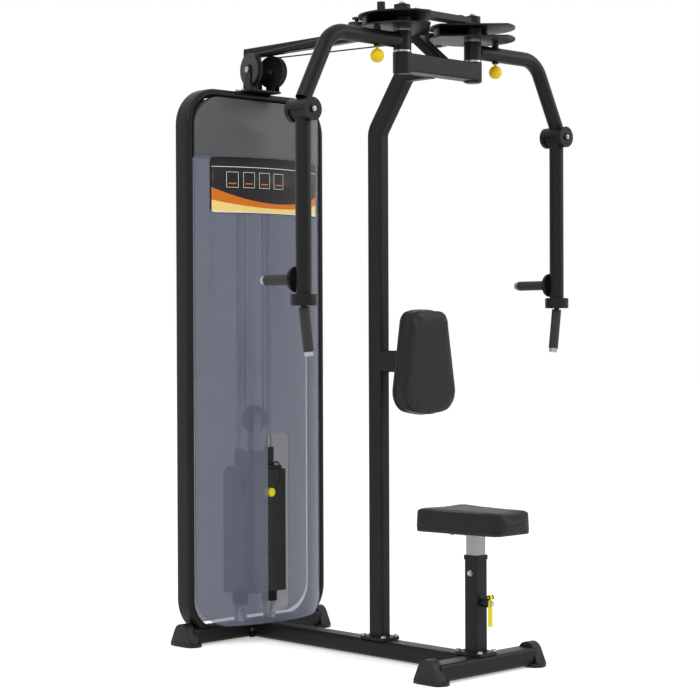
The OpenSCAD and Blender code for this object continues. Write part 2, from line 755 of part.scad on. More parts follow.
// One cast plate, with its rod bores, selector bore and pin hole
module weight_plate(index) translate([0, stack_y, stack_low_z + index * plate_pitch]) difference() {
    linear_extrude(plate_h) round_rect(plate_w, plate_d, 6);
    for (side = [LEFT, RIGHT]) translate([side * rod_x, 0, -eps])
        cylinder(r = rod_bore_r, h = plate_h + 2 * eps);
    translate([0, 0, -eps]) cylinder(r = selector_bore_r, h = plate_h + 2 * eps);
    translate([0, 0, plate_pitch / 2 - 0.2]) rotate([90, 0, 0]) cylinder(r = pin_hole_r, h = plate_d / 2 + eps);
}

module rest_plates() color(DARK) for (i = [0:pin_plate - 1]) weight_plate(i);
module lifted_plates() color(DARK) for (i = [pin_plate:plate_count - 1]) weight_plate(i);

// The casting above the top plate that rides on the guide rods
module head_plate() color(BLACK) translate([0, stack_y, stack_top_z]) difference() {
    union() {
        for (side = [LEFT, RIGHT]) translate([side * rod_x, 0, 0]) cylinder(r = head_r, h = head_h);
        translate([-rod_x, -head_web / 2, 0]) cube([2 * rod_x, head_web, head_h - 12]);
        translate([-plate_w / 2 + 10, -plate_d / 2 + 12, 0]) cube([plate_w - 20, plate_d - 24, 12]);
    }
    for (side = [LEFT, RIGHT]) translate([side * rod_x, 0, -eps])
        cylinder(r = rod_bore_r, h = head_h + 2 * eps);
    translate([0, 0, -eps]) cylinder(r = selector_r, h = head_h + 2 * eps);
}

module selector_rod() color(STEEL) difference() {
    translate([0, stack_y, stack_low_z + 4]) cylinder(r = selector_r, h = stack_top_z + head_h - 12 - stack_low_z - 4);
    for (i = [0:plate_count - 1])
        translate([0, stack_y, stack_low_z + (i + 0.5) * plate_pitch - 0.2]) rotate([90, 0, 0])
            cylinder(r = pin_hole_r, h = 2 * selector_r + 2, center = true);
}

// The strap over the floating pulley, bolted down to the head casting
module pulley_yoke() color(STEEL) translate([0, stack_y, 0]) {
    base = stack_top_z + head_h - 12;
    for (y = [-1, 1]) translate([0, y * (pulley_w / 2 + 1 + yoke_t / 2), 0]) rotate([90, 0, 0])
        linear_extrude(yoke_t, center = true) {
            translate([-yoke_w / 2, base]) square([yoke_w, float_z - base]);
            translate([0, float_z]) circle(yoke_w / 2);
        }
    translate([-yoke_w / 2, -pulley_w / 2 - 1 - yoke_t, base]) cube([yoke_w, pulley_w + 2 + 2 * yoke_t, 6]);
    translate([0, 0, float_z]) rotate([90, 0, 0]) cylinder(r = pulley_axle_r, h = pulley_w + 2 * yoke_t + 16, center = true);
}

module selector_pin() color(YELLOW) translate([0, stack_y, pin_z]) rotate([90, 0, 0]) {
    shank = plate_d / 2 + 12;
    cylinder(r = pin_r, h = shank);
    translate([0, 0, shank - 8]) cylinder(r = 8, h = 8);
    translate([0, 0, shank]) cylinder(r = knob_r, h = knob_l);
}

// A round tube swept along a list of points, as one solid
module swept_cord(route, r, sides) {
    last = len(route) - 1;
    rings = [for (i = [0:last]) let (
        along = unit(route[min(i + 1, last)] - route[max(i - 1, 0)]),
        across = unit(cross(along, [1, 0, 0])),
        other = cross(along, across))
        for (k = [0:sides - 1]) route[i] + r * (cos(360 * k / sides) * across + sin(360 * k / sides) * other)];
    walls = [for (i = [0:last - 1], k = [0:sides - 1]) let (n = (k + 1) % sides)
        [i * sides + k, i * sides + n, (i + 1) * sides + n, (i + 1) * sides + k]];
    ends = [[for (k = [sides - 1:-1:0]) k], [for (k = [0:sides - 1]) last * sides + k]];
    polyhedron(rings, concat(walls, ends), convexity = 6);
}

// The coiled lanyard from the head casting to the pin, as the fat tube that its coils fill
module pin_lanyard() color("#111111") translate([0, stack_y, 0]) swept_cord(lanyard_route, lanyard_r, 8);

// ---------- arms ----------

// Path of an arm in the X-Z plane, from the hub out and down to the knuckle
arm_path = [[pivot_x + hub_r - 6, arm_z], [arm_shoulder_x, arm_z], [handle_x, knuckle_top_z]];

module upper_arm(side) color(BLACK) on_side(side) translate([0, beam_y, 0]) difference() {
    union() {
        translate([pivot_x, 0, hub_z]) cylinder(r = hub_r, h = hub_h);
        difference() {
            upright_x() bent_bar(arm_path, arm_bend_r) circle(arm_tube_r);
            upright_x() bent_bar(arm_path, arm_bend_r) circle(arm_tube_r - arm_wall);
        }
        translate([pivot_x + range_hole_circle, 0, bush_low_z]) cylinder(r = bush_r, h = bush_top_z - bush_low_z);
        translate([handle_x, 0, knuckle_z]) rotate([90, 0, 0]) cylinder(r = knuckle_r, h = knuckle_w, center = true);
    }
    translate([pivot_x, 0, hub_z - eps]) cylinder(r = pivot_bore_r, h = hub_h + 2 * eps);
    translate([pivot_x + range_hole_circle, 0, bush_low_z - eps])
        cylinder(r = range_pin_r + running, h = bush_top_z - bush_low_z + 2 * eps);
    translate([handle_x, 0, knuckle_z]) {
        rotate([90, 0, 0]) cylinder(r = knuckle_hub_r + gap, h = knuckle_w - 2 * knuckle_cheek, center = true);
        rotate([90, 0, 0]) cylinder(r = knuckle_bolt_r, h = knuckle_w + 2, center = true);
        translate([-knuckle_r - 1, -knuckle_w / 2 + knuckle_cheek, -knuckle_r - 1])
            cube([2 * knuckle_r + 2, knuckle_w - 2 * knuckle_cheek, knuckle_r + 1]);
        translate([0, 0, knuckle_hub_r - 2]) cylinder(r = drain_r, h = 30);
    }
}

module upper_arm_left() upper_arm(LEFT);
module upper_arm_right() upper_arm(RIGHT);

// Sprung range pin with a ball knob under the arm, drawn down clear of the cam
module pull_pin(side) color(YELLOW) translate([side * (pivot_x + range_hole_circle), beam_y, 0]) {
    translate([0, 0, ball_z]) sphere(ball_r);
    translate([0, 0, ball_z]) cylinder(r = range_pin_r, h = pin_tip_z - ball_z);
}

module pull_pin_left() pull_pin(LEFT);
module pull_pin_right() pull_pin(RIGHT);

module knuckle_bolt(side) color(STEEL) translate([side * handle_x, beam_y, knuckle_z]) rotate([90, 0, 0]) {
    cylinder(r = knuckle_bolt_r, h = knuckle_w, center = true);
    translate([0, 0, knuckle_w / 2]) cylinder(r = 11, h = 5);
    translate([0, 0, -knuckle_w / 2 - 5]) cylinder(r = 11, h = 5);
}

module knuckle_bolt_left() knuckle_bolt(LEFT);
module knuckle_bolt_right() knuckle_bolt(RIGHT);

// A hand stop: a disc with rounded rims, standing on z = 0
module hand_stop(r, h) rotate_extrude() {
    square([r - 4, h]);
    translate([0, 4]) square([r, h - 8]);
    for (z = [4, h - 4]) translate([r - 4, z]) circle(4, $fn = 24);
}

// Places a child at the top of the lower grip, with its axis down the grip
module at_lower_grip() translate([0, 0, hand_stop_z - stop_h]) rotate([0, 180 + lower_grip_tilt, 0]) children();

// Places a child on the rearward grip's axis, at the back of the hanging tube
module at_rear_grip() translate([0, arm_tube_r, rear_grip_z]) rotate([-90, 0, 0]) children();

module lower_arm(side) color(BLACK) translate([side * handle_x, beam_y, 0]) on_side(side) difference() {
    union() {
        translate([0, 0, knuckle_z]) rotate([90, 0, 0]) cylinder(r = knuckle_hub_r, h = knuckle_hub_w, center = true);
        difference() {
            translate([0, 0, hand_stop_z]) cylinder(r = arm_tube_r, h = knuckle_z - hand_stop_z);
            translate([0, 0, hand_stop_z - 1]) cylinder(r = arm_tube_r - arm_wall, h = knuckle_z - knuckle_hub_r - hand_stop_z);
        }
        translate([0, 0, hand_stop_z - stop_h]) hand_stop(stop_r, stop_h);
        translate([0, -3, 0]) at_rear_grip() cylinder(r = 20, h = 5);
        at_rear_grip() hand_stop(stop_r, rear_stop_t);
        at_rear_grip() cylinder(r = core_r, h = rear_stop_t + rear_grip_length);
        at_lower_grip() translate([0, 0, -6]) cylinder(r = core_r, h = lower_grip_length + 6);
    }
    translate([0, 0, knuckle_z]) rotate([90, 0, 0])
        cylinder(r = knuckle_bolt_r + running, h = knuckle_hub_w + 2, center = true);
    translate([0, 0, knuckle_z - knuckle_hub_r - 20]) rotate([-90, 0, 0]) cylinder(r = drain_r, h = arm_tube_r + 1);
}

module lower_arm_left() lower_arm(LEFT);
module lower_arm_right() lower_arm(RIGHT);

module grip_sleeve(length) difference() {
    cylinder(r = grip_r, h = length);
    translate([0, 0, -eps]) cylinder(r = core_r, h = length + 2 * eps);
}

module grips(side) color(RUBBER) translate([side * handle_x, beam_y, 0]) on_side(side) {
    at_rear_grip() translate([0, 0, rear_stop_t]) grip_sleeve(rear_grip_length);
    at_lower_grip() translate([0, 0, 5]) grip_sleeve(lower_grip_length - 5);
}

module grips_left() grips(LEFT);
module grips_right() grips(RIGHT);

module grip_ends(side) color(STEEL) translate([side * handle_x, beam_y, 0]) on_side(side) {
    at_rear_grip() translate([0, 0, rear_stop_t + rear_grip_length]) cylinder(r = grip_r - 2, h = ferrule_l);
    at_lower_grip() translate([0, 0, lower_grip_length]) cylinder(r = grip_r - 2, h = ferrule_l);
}

module grip_ends_left() grip_ends(LEFT);
module grip_ends_right() grip_ends(RIGHT);

// ---------- seat and back pad ----------

module seat_sleeve() color(BLACK) difference() {
    union() {
        translate([0, seat_y, base_top]) linear_extrude(plate_t) round_rect(seat_plate.x, seat_plate.y, 8);
        translate([0, seat_y, base_top]) linear_extrude(sleeve_top_z - base_top) round_rect(sleeve_w, sleeve_w, 4);
        translate([0, seat_y, sleeve_top_z - 14]) linear_extrude(14) round_rect(sleeve_w + 5, sleeve_w + 5, 5);
        translate([0, seat_y - sleeve_w / 2 + 1, lock_z]) rotate([90, 0, 0]) cylinder(r = housing_r, h = housing_l + 1);
        for (x = [-1, 1]) translate([x * (lever_w / 2 + 1 + ear_t / 2), 0, 0]) hull() {
            translate([-ear_t / 2, lever_y, lever_hinge_z]) rotate([0, 90, 0]) cylinder(r = 7, h = ear_t, $fn = 32);
            translate([-ear_t / 2, housing_y, lock_z + 8]) cube([ear_t, 14, 4]);
        }
    }
    translate([0, seat_y, base_top + plate_t]) linear_extrude(sleeve_top_z)
        square(seat_post_w + 1, center = true);
    translate([0, seat_y, lock_z]) rotate([90, 0, 0]) cylinder(r = lock_pin_r + running, h = 100);
    translate([0, lever_y, lever_hinge_z]) rotate([0, 90, 0]) cylinder(r = lever_pin_r + running, h = 40, center = true);
}

module seat_post() color(STEEL) difference() {
    union() {
        translate([0, seat_y, seat_post_low_z]) linear_extrude(seat_low_z - seat_plate_under - seat_post_low_z)
            difference() {
                round_rect(seat_post_w, seat_post_w, 4);
                round_rect(seat_post_w - 6, seat_post_w - 6, 2);
            }
        translate([0, seat_y, seat_low_z - seat_plate_under]) linear_extrude(seat_plate_under)
            round_rect(120, 160, 10);
    }
    for (i = [0:seat_hole_count - 1]) translate([0, seat_y, lock_z + (i - 2) * seat_hole_pitch])
        rotate([90, 0, 0]) cylinder(r = lock_pin_r + gap, h = seat_post_w);
}

module seat_pad() color(VINYL) translate([0, seat_y, seat_low_z]) hull() {
    for (x = [-1, 1]) {
        translate([x * (seat_back_w / 2 - 34), seat_length / 2 - 34, 0]) cylinder(r = 34, h = seat_pad_t, $fn = 32);
        translate([x * (seat_front_w / 2 - 34), -seat_length / 2 + 34, 0]) cylinder(r = 34, h = seat_pad_t, $fn = 32);
    }
}

// The pin that locks the seat's height, drawn clear of the post: its head is outside the lever
module seat_lock_pin() color(STEEL) translate([0, 0, lock_z]) rotate([90, 0, 0]) {
    tip = -seat_y + seat_post_w / 2 + gap;
    shoulder = -housing_y - 8;
    head = -lever_y + lever_t / 2 + gap;
    translate([0, 0, tip]) cylinder(r = lock_pin_r, h = shoulder - tip);
    translate([0, 0, shoulder]) cylinder(r = lock_neck_r, h = head - shoulder);
    translate([0, 0, head]) cylinder(r = lock_head_r, h = lock_head_t);
}

// Hanging lever, hinged above the pin, that draws the pin's head outward
module seat_lever() color(YELLOW) translate([0, lever_y, lever_hinge_z]) difference() {
    union() {
        rotate([0, 90, 0]) cylinder(r = lever_pin_r, h = lever_w + 2 + 2 * ear_t, center = true);
        rotate([0, 90, 0]) cylinder(r = lever_hub_r, h = lever_w, center = true);
        translate([-lever_w / 2, -lever_t / 2, -lever_l]) cube([lever_w, lever_t, lever_l]);
    }
    translate([0, 0, lock_z - lever_hinge_z]) cube([lever_slot.x, 3 * lever_t, lever_slot.y], center = true);
}

// Rectangular tube from the column, with the plate that the back pad is screwed to
module back_pad_bracket() color(BLACK) {
    centre_z = back_pad_low_z + 0.51 * back_pad_h;
    plate_y = column_y - back_pad_reach + back_pad_t;
    plate = 5;
    length = column_y - column_d / 2 - plate_y - plate;
    translate([0, plate_y + plate + length, centre_z]) rotate([90, 0, 0]) box_tube(length, 50, 70, 5, 3);
    translate([-60, plate_y, centre_z - 70]) cube([120, plate, 140]);
}

module back_pad() color(VINYL) {
    corner = 40;
    low = back_pad_low_z + corner;
    top = back_pad_low_z + back_pad_h - corner;
    translate([0, column_y - back_pad_reach + back_pad_t, 0]) rotate([90, 0, 0]) linear_extrude(back_pad_t) hull() {
        for (x = [-1, 1]) {
            translate([x * (back_pad_low_w / 2 - corner - 6), low]) circle(corner, $fn = 32);
            translate([x * (back_pad_low_w / 2 - corner), low + 22]) circle(corner, $fn = 32);
            translate([x * (back_pad_top_w / 2 - corner), top]) circle(corner, $fn = 32);
        }
    }
}

// ---------- fasteners ----------

module frame_bolts() color(STEEL) {
    for (x = [-1, 1], y = [-1, 1]) {
        translate([x * (column_plate.x / 2 - 10), column_y + y * (column_plate.y / 2 - 11), base_top + plate_t])
            bolt_head(5);
        translate([x * (seat_plate.x / 2 - 9), seat_y + y * (seat_plate.y / 2 - 10), base_top + plate_t])
            bolt_head(5);
        translate([x * bracket_bolt_x, stack_y + y * bracket_bolt_y, tower_h + bracket_plate_t]) bolt_head(5);
    }
    translate([-sleeve_w / 2, seat_y, sleeve_top_z - 56]) rotate([0, -90, 0]) bolt_head(5);
    for (side = [LEFT, RIGHT]) at_tower_pulley(side) rotate([0, 90, 0]) {
        cylinder(r = pulley_axle_r, h = pulley_w + 2 + 2 * cheek_t, center = true);
        for (s = [-1, 1]) translate([0, 0, s * (pulley_w / 2 + 1 + cheek_t + 2)]) cylinder(r = 11, h = 4, center = true);
    }
    for (x = [-1, 1]) translate([x * (base_tube_w + flange_wing) / 2, 0, base_lift + base_tube_h / 2]) {
        translate([0, tower_y - base_tube_w / 2 - flange_t, 0]) rotate([90, 0, 0]) bolt_head(3.5);
        translate([0, front_y + base_tube_w / 2 + flange_t, 0]) rotate([-90, 0, 0]) bolt_head(3.5);
    }
}

rear_cross_tube();
front_cross_tube();
base_beam();
foot_rear_left();
foot_rear_right();
foot_front_left();
foot_front_right();
column();
crossbeam();
top_beam();
pulley_bracket();
tower_frame();
top_cap();
front_shroud();
rear_shroud();
guide_rods();
bump_stops();
rest_plates();
back_pad_bracket();
back_pad();
seat_sleeve();
frame_bolts();
pivot_shafts();
thrust_washers();
shaft_tie_plate();
arm_cables();
lift_cables();
head_plate();
lifted_plates();
selector_rod();
pulley_yoke();
cable_loop();
pin_lanyard();
selector_pin();
floating_pulley();
tower_pulley_left();
tower_pulley_right();
range_cam_left();
range_cam_right();
upper_arm_left();
upper_arm_right();
pull_pin_left();
pull_pin_right();
knuckle_bolt_left();
knuckle_bolt_right();
lower_arm_left();
lower_arm_right();
grips_left();
grips_right();
grip_ends_left();
grip_ends_right();
guide_spool_left_outer();
guide_spool_left_inner();
guide_spool_right_inner();
guide_spool_right_outer();
seat_post();
seat_pad();
seat_lock_pin();
seat_lever();
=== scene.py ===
"""Looks for a selectorised chest-fly and rear-deltoid machine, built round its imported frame.

Lengths are metres, +Z is up, -Y is the way the seated user faces and the weight tower stands at +Y.
"""

from __future__ import annotations

import json
import logging
import math
from dataclasses import dataclass, field
from enum import Enum
from typing import Callable, Iterable, Sequence

import bmesh
import bpy
from mathutils import Matrix, Vector
from mathutils.bvhtree import BVHTree

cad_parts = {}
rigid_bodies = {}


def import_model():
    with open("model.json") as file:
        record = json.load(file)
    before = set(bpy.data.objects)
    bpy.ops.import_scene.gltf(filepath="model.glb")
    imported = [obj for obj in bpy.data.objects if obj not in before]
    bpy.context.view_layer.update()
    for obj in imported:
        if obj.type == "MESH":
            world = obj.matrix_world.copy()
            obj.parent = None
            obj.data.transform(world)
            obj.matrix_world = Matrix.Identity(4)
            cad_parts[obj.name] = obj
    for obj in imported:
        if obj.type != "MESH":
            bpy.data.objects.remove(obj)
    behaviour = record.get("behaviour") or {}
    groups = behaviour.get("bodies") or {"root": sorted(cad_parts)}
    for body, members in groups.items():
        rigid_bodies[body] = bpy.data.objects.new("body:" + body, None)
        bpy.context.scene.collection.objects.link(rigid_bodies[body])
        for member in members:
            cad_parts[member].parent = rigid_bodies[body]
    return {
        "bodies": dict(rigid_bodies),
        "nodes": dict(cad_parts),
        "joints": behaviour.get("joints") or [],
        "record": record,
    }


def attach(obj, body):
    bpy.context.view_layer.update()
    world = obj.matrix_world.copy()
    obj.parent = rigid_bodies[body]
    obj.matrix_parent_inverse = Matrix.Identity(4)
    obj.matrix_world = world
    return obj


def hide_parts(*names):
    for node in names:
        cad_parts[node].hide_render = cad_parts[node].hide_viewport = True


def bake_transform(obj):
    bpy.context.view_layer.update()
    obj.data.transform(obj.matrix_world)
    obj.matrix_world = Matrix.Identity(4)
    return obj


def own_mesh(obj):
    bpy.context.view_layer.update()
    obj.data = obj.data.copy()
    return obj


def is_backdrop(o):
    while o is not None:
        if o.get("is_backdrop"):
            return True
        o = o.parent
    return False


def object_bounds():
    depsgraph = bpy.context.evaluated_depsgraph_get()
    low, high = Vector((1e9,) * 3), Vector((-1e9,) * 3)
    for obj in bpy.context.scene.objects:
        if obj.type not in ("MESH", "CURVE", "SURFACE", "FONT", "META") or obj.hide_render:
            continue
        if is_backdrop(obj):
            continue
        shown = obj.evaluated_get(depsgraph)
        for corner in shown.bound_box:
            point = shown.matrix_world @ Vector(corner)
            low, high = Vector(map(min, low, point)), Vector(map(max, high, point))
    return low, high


log = logging.getLogger("pec_deck")
Colour = tuple[float, float, float]
MM = 0.001


# ---------- finishes ----------


class Texture(Enum):
    """How a finish's fine relief is made."""

    POWDER = "orange peel of a textured powder coat"
    HIDE = "pebbled grain of upholstery vinyl"
    FOAM = "open pores of a foam grip"
    CAST = "coarse skin of a painted casting"
    MOULDED = "faint spark-eroded moulding"
    BRUSHED = "fine turned or brushed lines"
    CLEAR = "no relief"


NOISE_DETAIL = {Texture.POWDER: 1.0, Texture.FOAM: 2.0, Texture.CAST: 6.0, Texture.MOULDED: 3.0,
                Texture.BRUSHED: 2.0}
WANDER_SCALE, WANDER_DETAIL = 9.0, 4.0
WANDER_FROM, WANDER_TO = 0.3, 0.7
COAT_ROUGH = 0.12
EDGE_SAMPLES = 4
CELL_SMOOTHNESS = 0.6
BRUSH_STRETCH = 0.05
# Places of the colour sockets on a Mix node.
MIX_A, MIX_B, MIX_RESULT = 6, 7, 2


@dataclass(frozen=True)
class Finish:
    """One surface finish, as the settings of a Principled shader and its relief.

    Attributes:
        name: The material's name.
        colour: Base colour, linear.
        rough: Mean roughness.
        metal: 1 for bare metal.
        texture: Kind of relief.
        grain: Size of the relief, in metres.
        relief: Depth of the relief, in metres.
        mottle: How far the colour and roughness wander over the surface.
        edge: Radius to which sharp edges are softened in shading, in metres.
        coat: Weight of a clear coat.
        specular: Strength of the reflection that isn't metal's.
        alpha: Opacity.
    """

    name: str
    colour: Colour
    rough: float
    metal: float = 0.0
    texture: Texture = Texture.CLEAR
    grain: float = 1.0 * MM
    relief: float = 0.05 * MM
    mottle: float = 0.15
    edge: float = 0.0
    coat: float = 0.0
    specular: float = 0.5
    alpha: float = 1.0

    def build(self) -> bpy.types.Material:
        """Make the finish's material, once.

        Returns:
            The material.
        """
        known = bpy.data.materials.get(f"{self.name}_finish")
        if known:
            return known
        material = bpy.data.materials.new(f"{self.name}_finish")
        material.use_nodes = True
        tree = material.node_tree
        tree.nodes.clear()
        shader = tree.nodes.new("ShaderNodeBsdfPrincipled")
        output = tree.nodes.new("ShaderNodeOutputMaterial")
        tree.links.new(shader.outputs["BSDF"], output.inputs["Surface"])
        shader.inputs["Metallic"].default_value = self.metal
        shader.inputs["Coat Weight"].default_value = self.coat
        shader.inputs["Coat Roughness"].default_value = COAT_ROUGH
        shader.inputs["Specular IOR Level"].default_value = self.specular
        shader.inputs["Alpha"].default_value = self.alpha
        place = tree.nodes.new("ShaderNodeTexCoord").outputs["Object"]
        wander = self._noise(tree, place, WANDER_SCALE, WANDER_DETAIL)
        self._colour(tree, wander, shader)
        self._roughness(tree, wander, shader)
        self._relief(tree, place, shader)
        return material

    def _noise(self, tree: bpy.types.NodeTree, place: bpy.types.NodeSocket, scale: float,
               detail: float) -> bpy.types.NodeSocket:
        """A noise value over the surface.

        Args:
            tree: The material's nodes.
            place: The coordinates that it reads.
            scale: Waves to the metre.
            detail: Octaves of finer noise.

        Returns:
            A socket that gives the value, about 0 to 1.
        """
        node = tree.nodes.new("ShaderNodeTexNoise")
        node.inputs["Scale"].default_value = scale
        node.inputs["Detail"].default_value = detail
        tree.links.new(place, node.inputs["Vector"])
        return node.outputs["Fac"]

    def _colour(self, tree: bpy.types.NodeTree, wander: bpy.types.NodeSocket,
                shader: bpy.types.Node) -> None:
        """Let the base colour wander a little round its mean.

        Args:
            tree: The material's nodes.
            wander: The noise that it follows.
            shader: The shader that takes it.
        """
        ramp = tree.nodes.new("ShaderNodeMix")
        ramp.data_type = "RGBA"
        dark = [c * (1 - self.mottle) for c in self.colour]
        light = [min(1.0, c * (1 + self.mottle)) for c in self.colour]
        ramp.inputs[MIX_A].default_value = (*dark, 1)
        ramp.inputs[MIX_B].default_value = (*light, 1)
        tree.links.new(wander, ramp.inputs[0])
        tree.links.new(ramp.outputs[MIX_RESULT], shader.inputs["Base Color"])

    def _roughness(self, tree: bpy.types.NodeTree, wander: bpy.types.NodeSocket,
                   shader: bpy.types.Node) -> None:
        """Let the roughness wander with the same noise.

        Args:
            tree: The material's nodes.
            wander: The noise that it follows.
            shader: The shader that takes it.
        """
        span = tree.nodes.new("ShaderNodeMapRange")
        span.inputs["From Min"].default_value = WANDER_FROM
        span.inputs["From Max"].default_value = WANDER_TO
        span.inputs["To Min"].default_value = self.rough * (1 - 0.5 * self.mottle)
        span.inputs["To Max"].default_value = min(1.0, self.rough * (1 + 0.5 * self.mottle))
        tree.links.new(wander, span.inputs["Value"])
        tree.links.new(span.outputs["Result"], shader.inputs["Roughness"])

    def _relief(self, tree: bpy.types.NodeTree, place: bpy.types.NodeSocket,
                shader: bpy.types.Node) -> None:
        """Add the finish's relief and its softened edges to the shading normal.

        Args:
            tree: The material's nodes.
            place: The coordinates that the relief reads.
            shader: The shader that takes it.
        """
        normal = None
        if self.edge:
            soft = tree.nodes.new("ShaderNodeBevel")
            soft.samples = EDGE_SAMPLES
            soft.inputs["Radius"].default_value = self.edge
            normal = soft.outputs["Normal"]
        if self.texture is not Texture.CLEAR:
            bump = tree.nodes.new("ShaderNodeBump")
            bump.inputs["Strength"].default_value = 1.0
            bump.inputs["Distance"].default_value = self.relief
            tree.links.new(self._height(tree, place), bump.inputs["Height"])
            if normal:
                tree.links.new(normal, bump.inputs["Normal"])
            normal = bump.outputs["Normal"]
        if normal:
            tree.links.new(normal, shader.inputs["Normal"])

    def _height(self, tree: bpy.types.NodeTree, place: bpy.types.NodeSocket) -> bpy.types.NodeSocket:
        """The relief's height field.

        Args:
            tree: The material's nodes.
            place: The coordinates that it reads.

        Returns:
            A socket that gives the height, about 0 to 1.
        """
        scale = 1.0 / self.grain
        if self.texture is Texture.HIDE:
            cells = tree.nodes.new("ShaderNodeTexVoronoi")
            cells.feature = "SMOOTH_F1"
            cells.inputs["Scale"].default_value = scale
            cells.inputs["Smoothness"].default_value = CELL_SMOOTHNESS
            tree.links.new(place, cells.inputs["Vector"])
            return cells.outputs["Distance"]
        if self.texture is Texture.BRUSHED:
            stretch = tree.nodes.new("ShaderNodeMapping")
            stretch.inputs["Scale"].default_value = (1.0, 1.0, BRUSH_STRETCH)
            tree.links.new(place, stretch.inputs["Vector"])
            place = stretch.outputs["Vector"]
        return self._noise(tree, place, scale, NOISE_DETAIL[self.texture])


POWDER_COAT = Finish("powder_coat", (0.0078, 0.0078, 0.0082), 0.41, texture=Texture.POWDER, grain=1.1 * MM,
                     relief=0.16 * MM, edge=1.2 * MM, specular=0.18)
DARK_METAL = Finish("dark_metal", (0.010, 0.010, 0.0105), 0.42, texture=Texture.POWDER, grain=1.4 * MM,
                    relief=0.05 * MM, edge=0.8 * MM, specular=0.2)
CAST_PLATE = Finish("cast_plate", (0.032, 0.032, 0.034), 0.6, texture=Texture.CAST, grain=4 * MM,
                    relief=0.25 * MM, edge=1.0 * MM)
NYLON = Finish("pulley_nylon", (0.014, 0.014, 0.015), 0.4, texture=Texture.MOULDED, grain=1.5 * MM,
               relief=0.03 * MM, edge=0.8 * MM, specular=0.35)
CAP_PLASTIC = Finish("cap_moulding", (0.07, 0.071, 0.074), 0.42, texture=Texture.MOULDED, grain=1.2 * MM,
                     relief=0.05 * MM, edge=3 * MM)
TINT = Finish("tinted_sheet", (0.158, 0.178, 0.248), 0.14, mottle=0.03, alpha=0.5, specular=0.4)
REAR_TINT = Finish("tinted_rear_sheet", (0.165, 0.19, 0.27), 0.2, mottle=0.03, alpha=0.6)
FOOT_RUBBER = Finish("foot_rubber", (0.013, 0.013, 0.0135), 0.5, texture=Texture.MOULDED, grain=2 * MM,
                     relief=0.1 * MM, edge=3 * MM, specular=0.27)
GRIP_RUBBER = Finish("grip_rubber", (0.018, 0.018, 0.019), 0.62, texture=Texture.FOAM, grain=0.9 * MM,
                     relief=0.12 * MM, edge=1.5 * MM, specular=0.4)
VINYL = Finish("pad_vinyl", (0.0075, 0.0075, 0.0078), 0.47, texture=Texture.HIDE, grain=1.6 * MM,
               relief=0.10 * MM, specular=0.24)
BRIGHT_STEEL = Finish("bright_steel", (0.40, 0.40, 0.395), 0.3, metal=1.0, texture=Texture.BRUSHED,
                      grain=0.5 * MM, relief=0.01 * MM, mottle=0.1, edge=0.5 * MM)
CHROME = Finish("chrome_post", (0.27, 0.262, 0.26), 0.28, metal=1.0, texture=Texture.BRUSHED, grain=0.5 * MM,
                relief=0.008 * MM, mottle=0.12, edge=0.6 * MM)
CABLE = Finish("cable_sleeve", (0.010, 0.010, 0.010), 0.4, texture=Texture.MOULDED, grain=1 * MM,
               relief=0.02 * MM, specular=0.35)
YELLOW = Finish("yellow_moulding", (0.88, 0.60, 0.0), 0.36, texture=Texture.MOULDED, grain=1.5 * MM,
                relief=0.01 * MM, mottle=0.03, edge=0.8 * MM, specular=0.28)
LEMON = Finish("lemon_moulding", (0.80, 0.74, 0.006), 0.36, texture=Texture.MOULDED, grain=1.5 * MM,
               relief=0.01 * MM, mottle=0.03, edge=0.8 * MM, specular=0.28)
FINISHES = {f.name: f for f in (POWDER_COAT, DARK_METAL, CAST_PLATE, NYLON, CAP_PLASTIC, TINT, FOOT_RUBBER,
                                GRIP_RUBBER, VINYL, BRIGHT_STEEL, CHROME, CABLE, YELLOW)}
NODE_FINISHES = {
    "rear_shroud": REAR_TINT,
    "seat_lever": LEMON,
    "selector_pin": LEMON,
    "knuckle_bolt_left": DARK_METAL,
    "knuckle_bolt_right": DARK_METAL,
    "pivot_shafts": DARK_METAL,
}


# ---------- helpers ----------


def new_object(name: str, mesh: bpy.types.Mesh, finish: Finish, smooth: bool = True) -> bpy.types.Object:
    """Link a mesh as an object with one finish.

    Args:
        name: The piece's name.
        mesh: Its mesh, in the row frame.
        finish: Its finish.
        smooth: Whether its faces are shaded smooth.

    Returns:
        The object.
    """
    obj = bpy.data.objects.new(name, mesh)
    bpy.context.scene.collection.objects.link(obj)
    mesh.materials.clear()
    mesh.materials.append(finish.build())
    for face in mesh.polygons:
        face.use_smooth = smooth
    return obj


def place_piece(obj: bpy.types.Object, body: str, slot: str, *replaced: str) -> None:
    """Hang a finished piece on its body and hide the CAD nodes that it replaces.

    Args:
        obj: The piece.
        body: The body that carries it.
        slot: The record's material slot. Not used.
        replaced: CAD nodes that it replaces.
    """
    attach(obj, body)
    if replaced:
        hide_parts(*replaced)
    log.info("%s rides on %s", obj.name, body)


# Furthest apart that two corners of a CAD node are and still count as one.
WELD_DISTANCE = 0.01 * MM


def apply_modifiers(obj: bpy.types.Object) -> None:
    """Turn an object's modifiers into plain mesh.

    Args:
        obj: The object, which is left with no modifiers.
    """
    graph = bpy.context.evaluated_depsgraph_get()
    mesh = bpy.data.meshes.new_from_object(obj.evaluated_get(graph))
    obj.modifiers.clear()
    obj.data = mesh


def smooth_by_angle(obj: bpy.types.Object, degrees: float = 32.0) -> None:
    """Weld a CAD node's loose triangles and shade them smooth, except over sharp edges.

    Args:
        obj: The CAD node. Its own mesh is left alone, and the work is a modifier.
        degrees: Angle past which an edge stays sharp.
    """
    tree = bpy.data.node_groups.get("weld_and_smooth") or _weld_tree()
    modifier = obj.modifiers.new("weld_and_smooth", "NODES")
    modifier.node_group = tree
    identifier = next(i.identifier for i in tree.interface.items_tree if i.name == "Sharp angle")
    modifier[identifier] = math.radians(degrees)


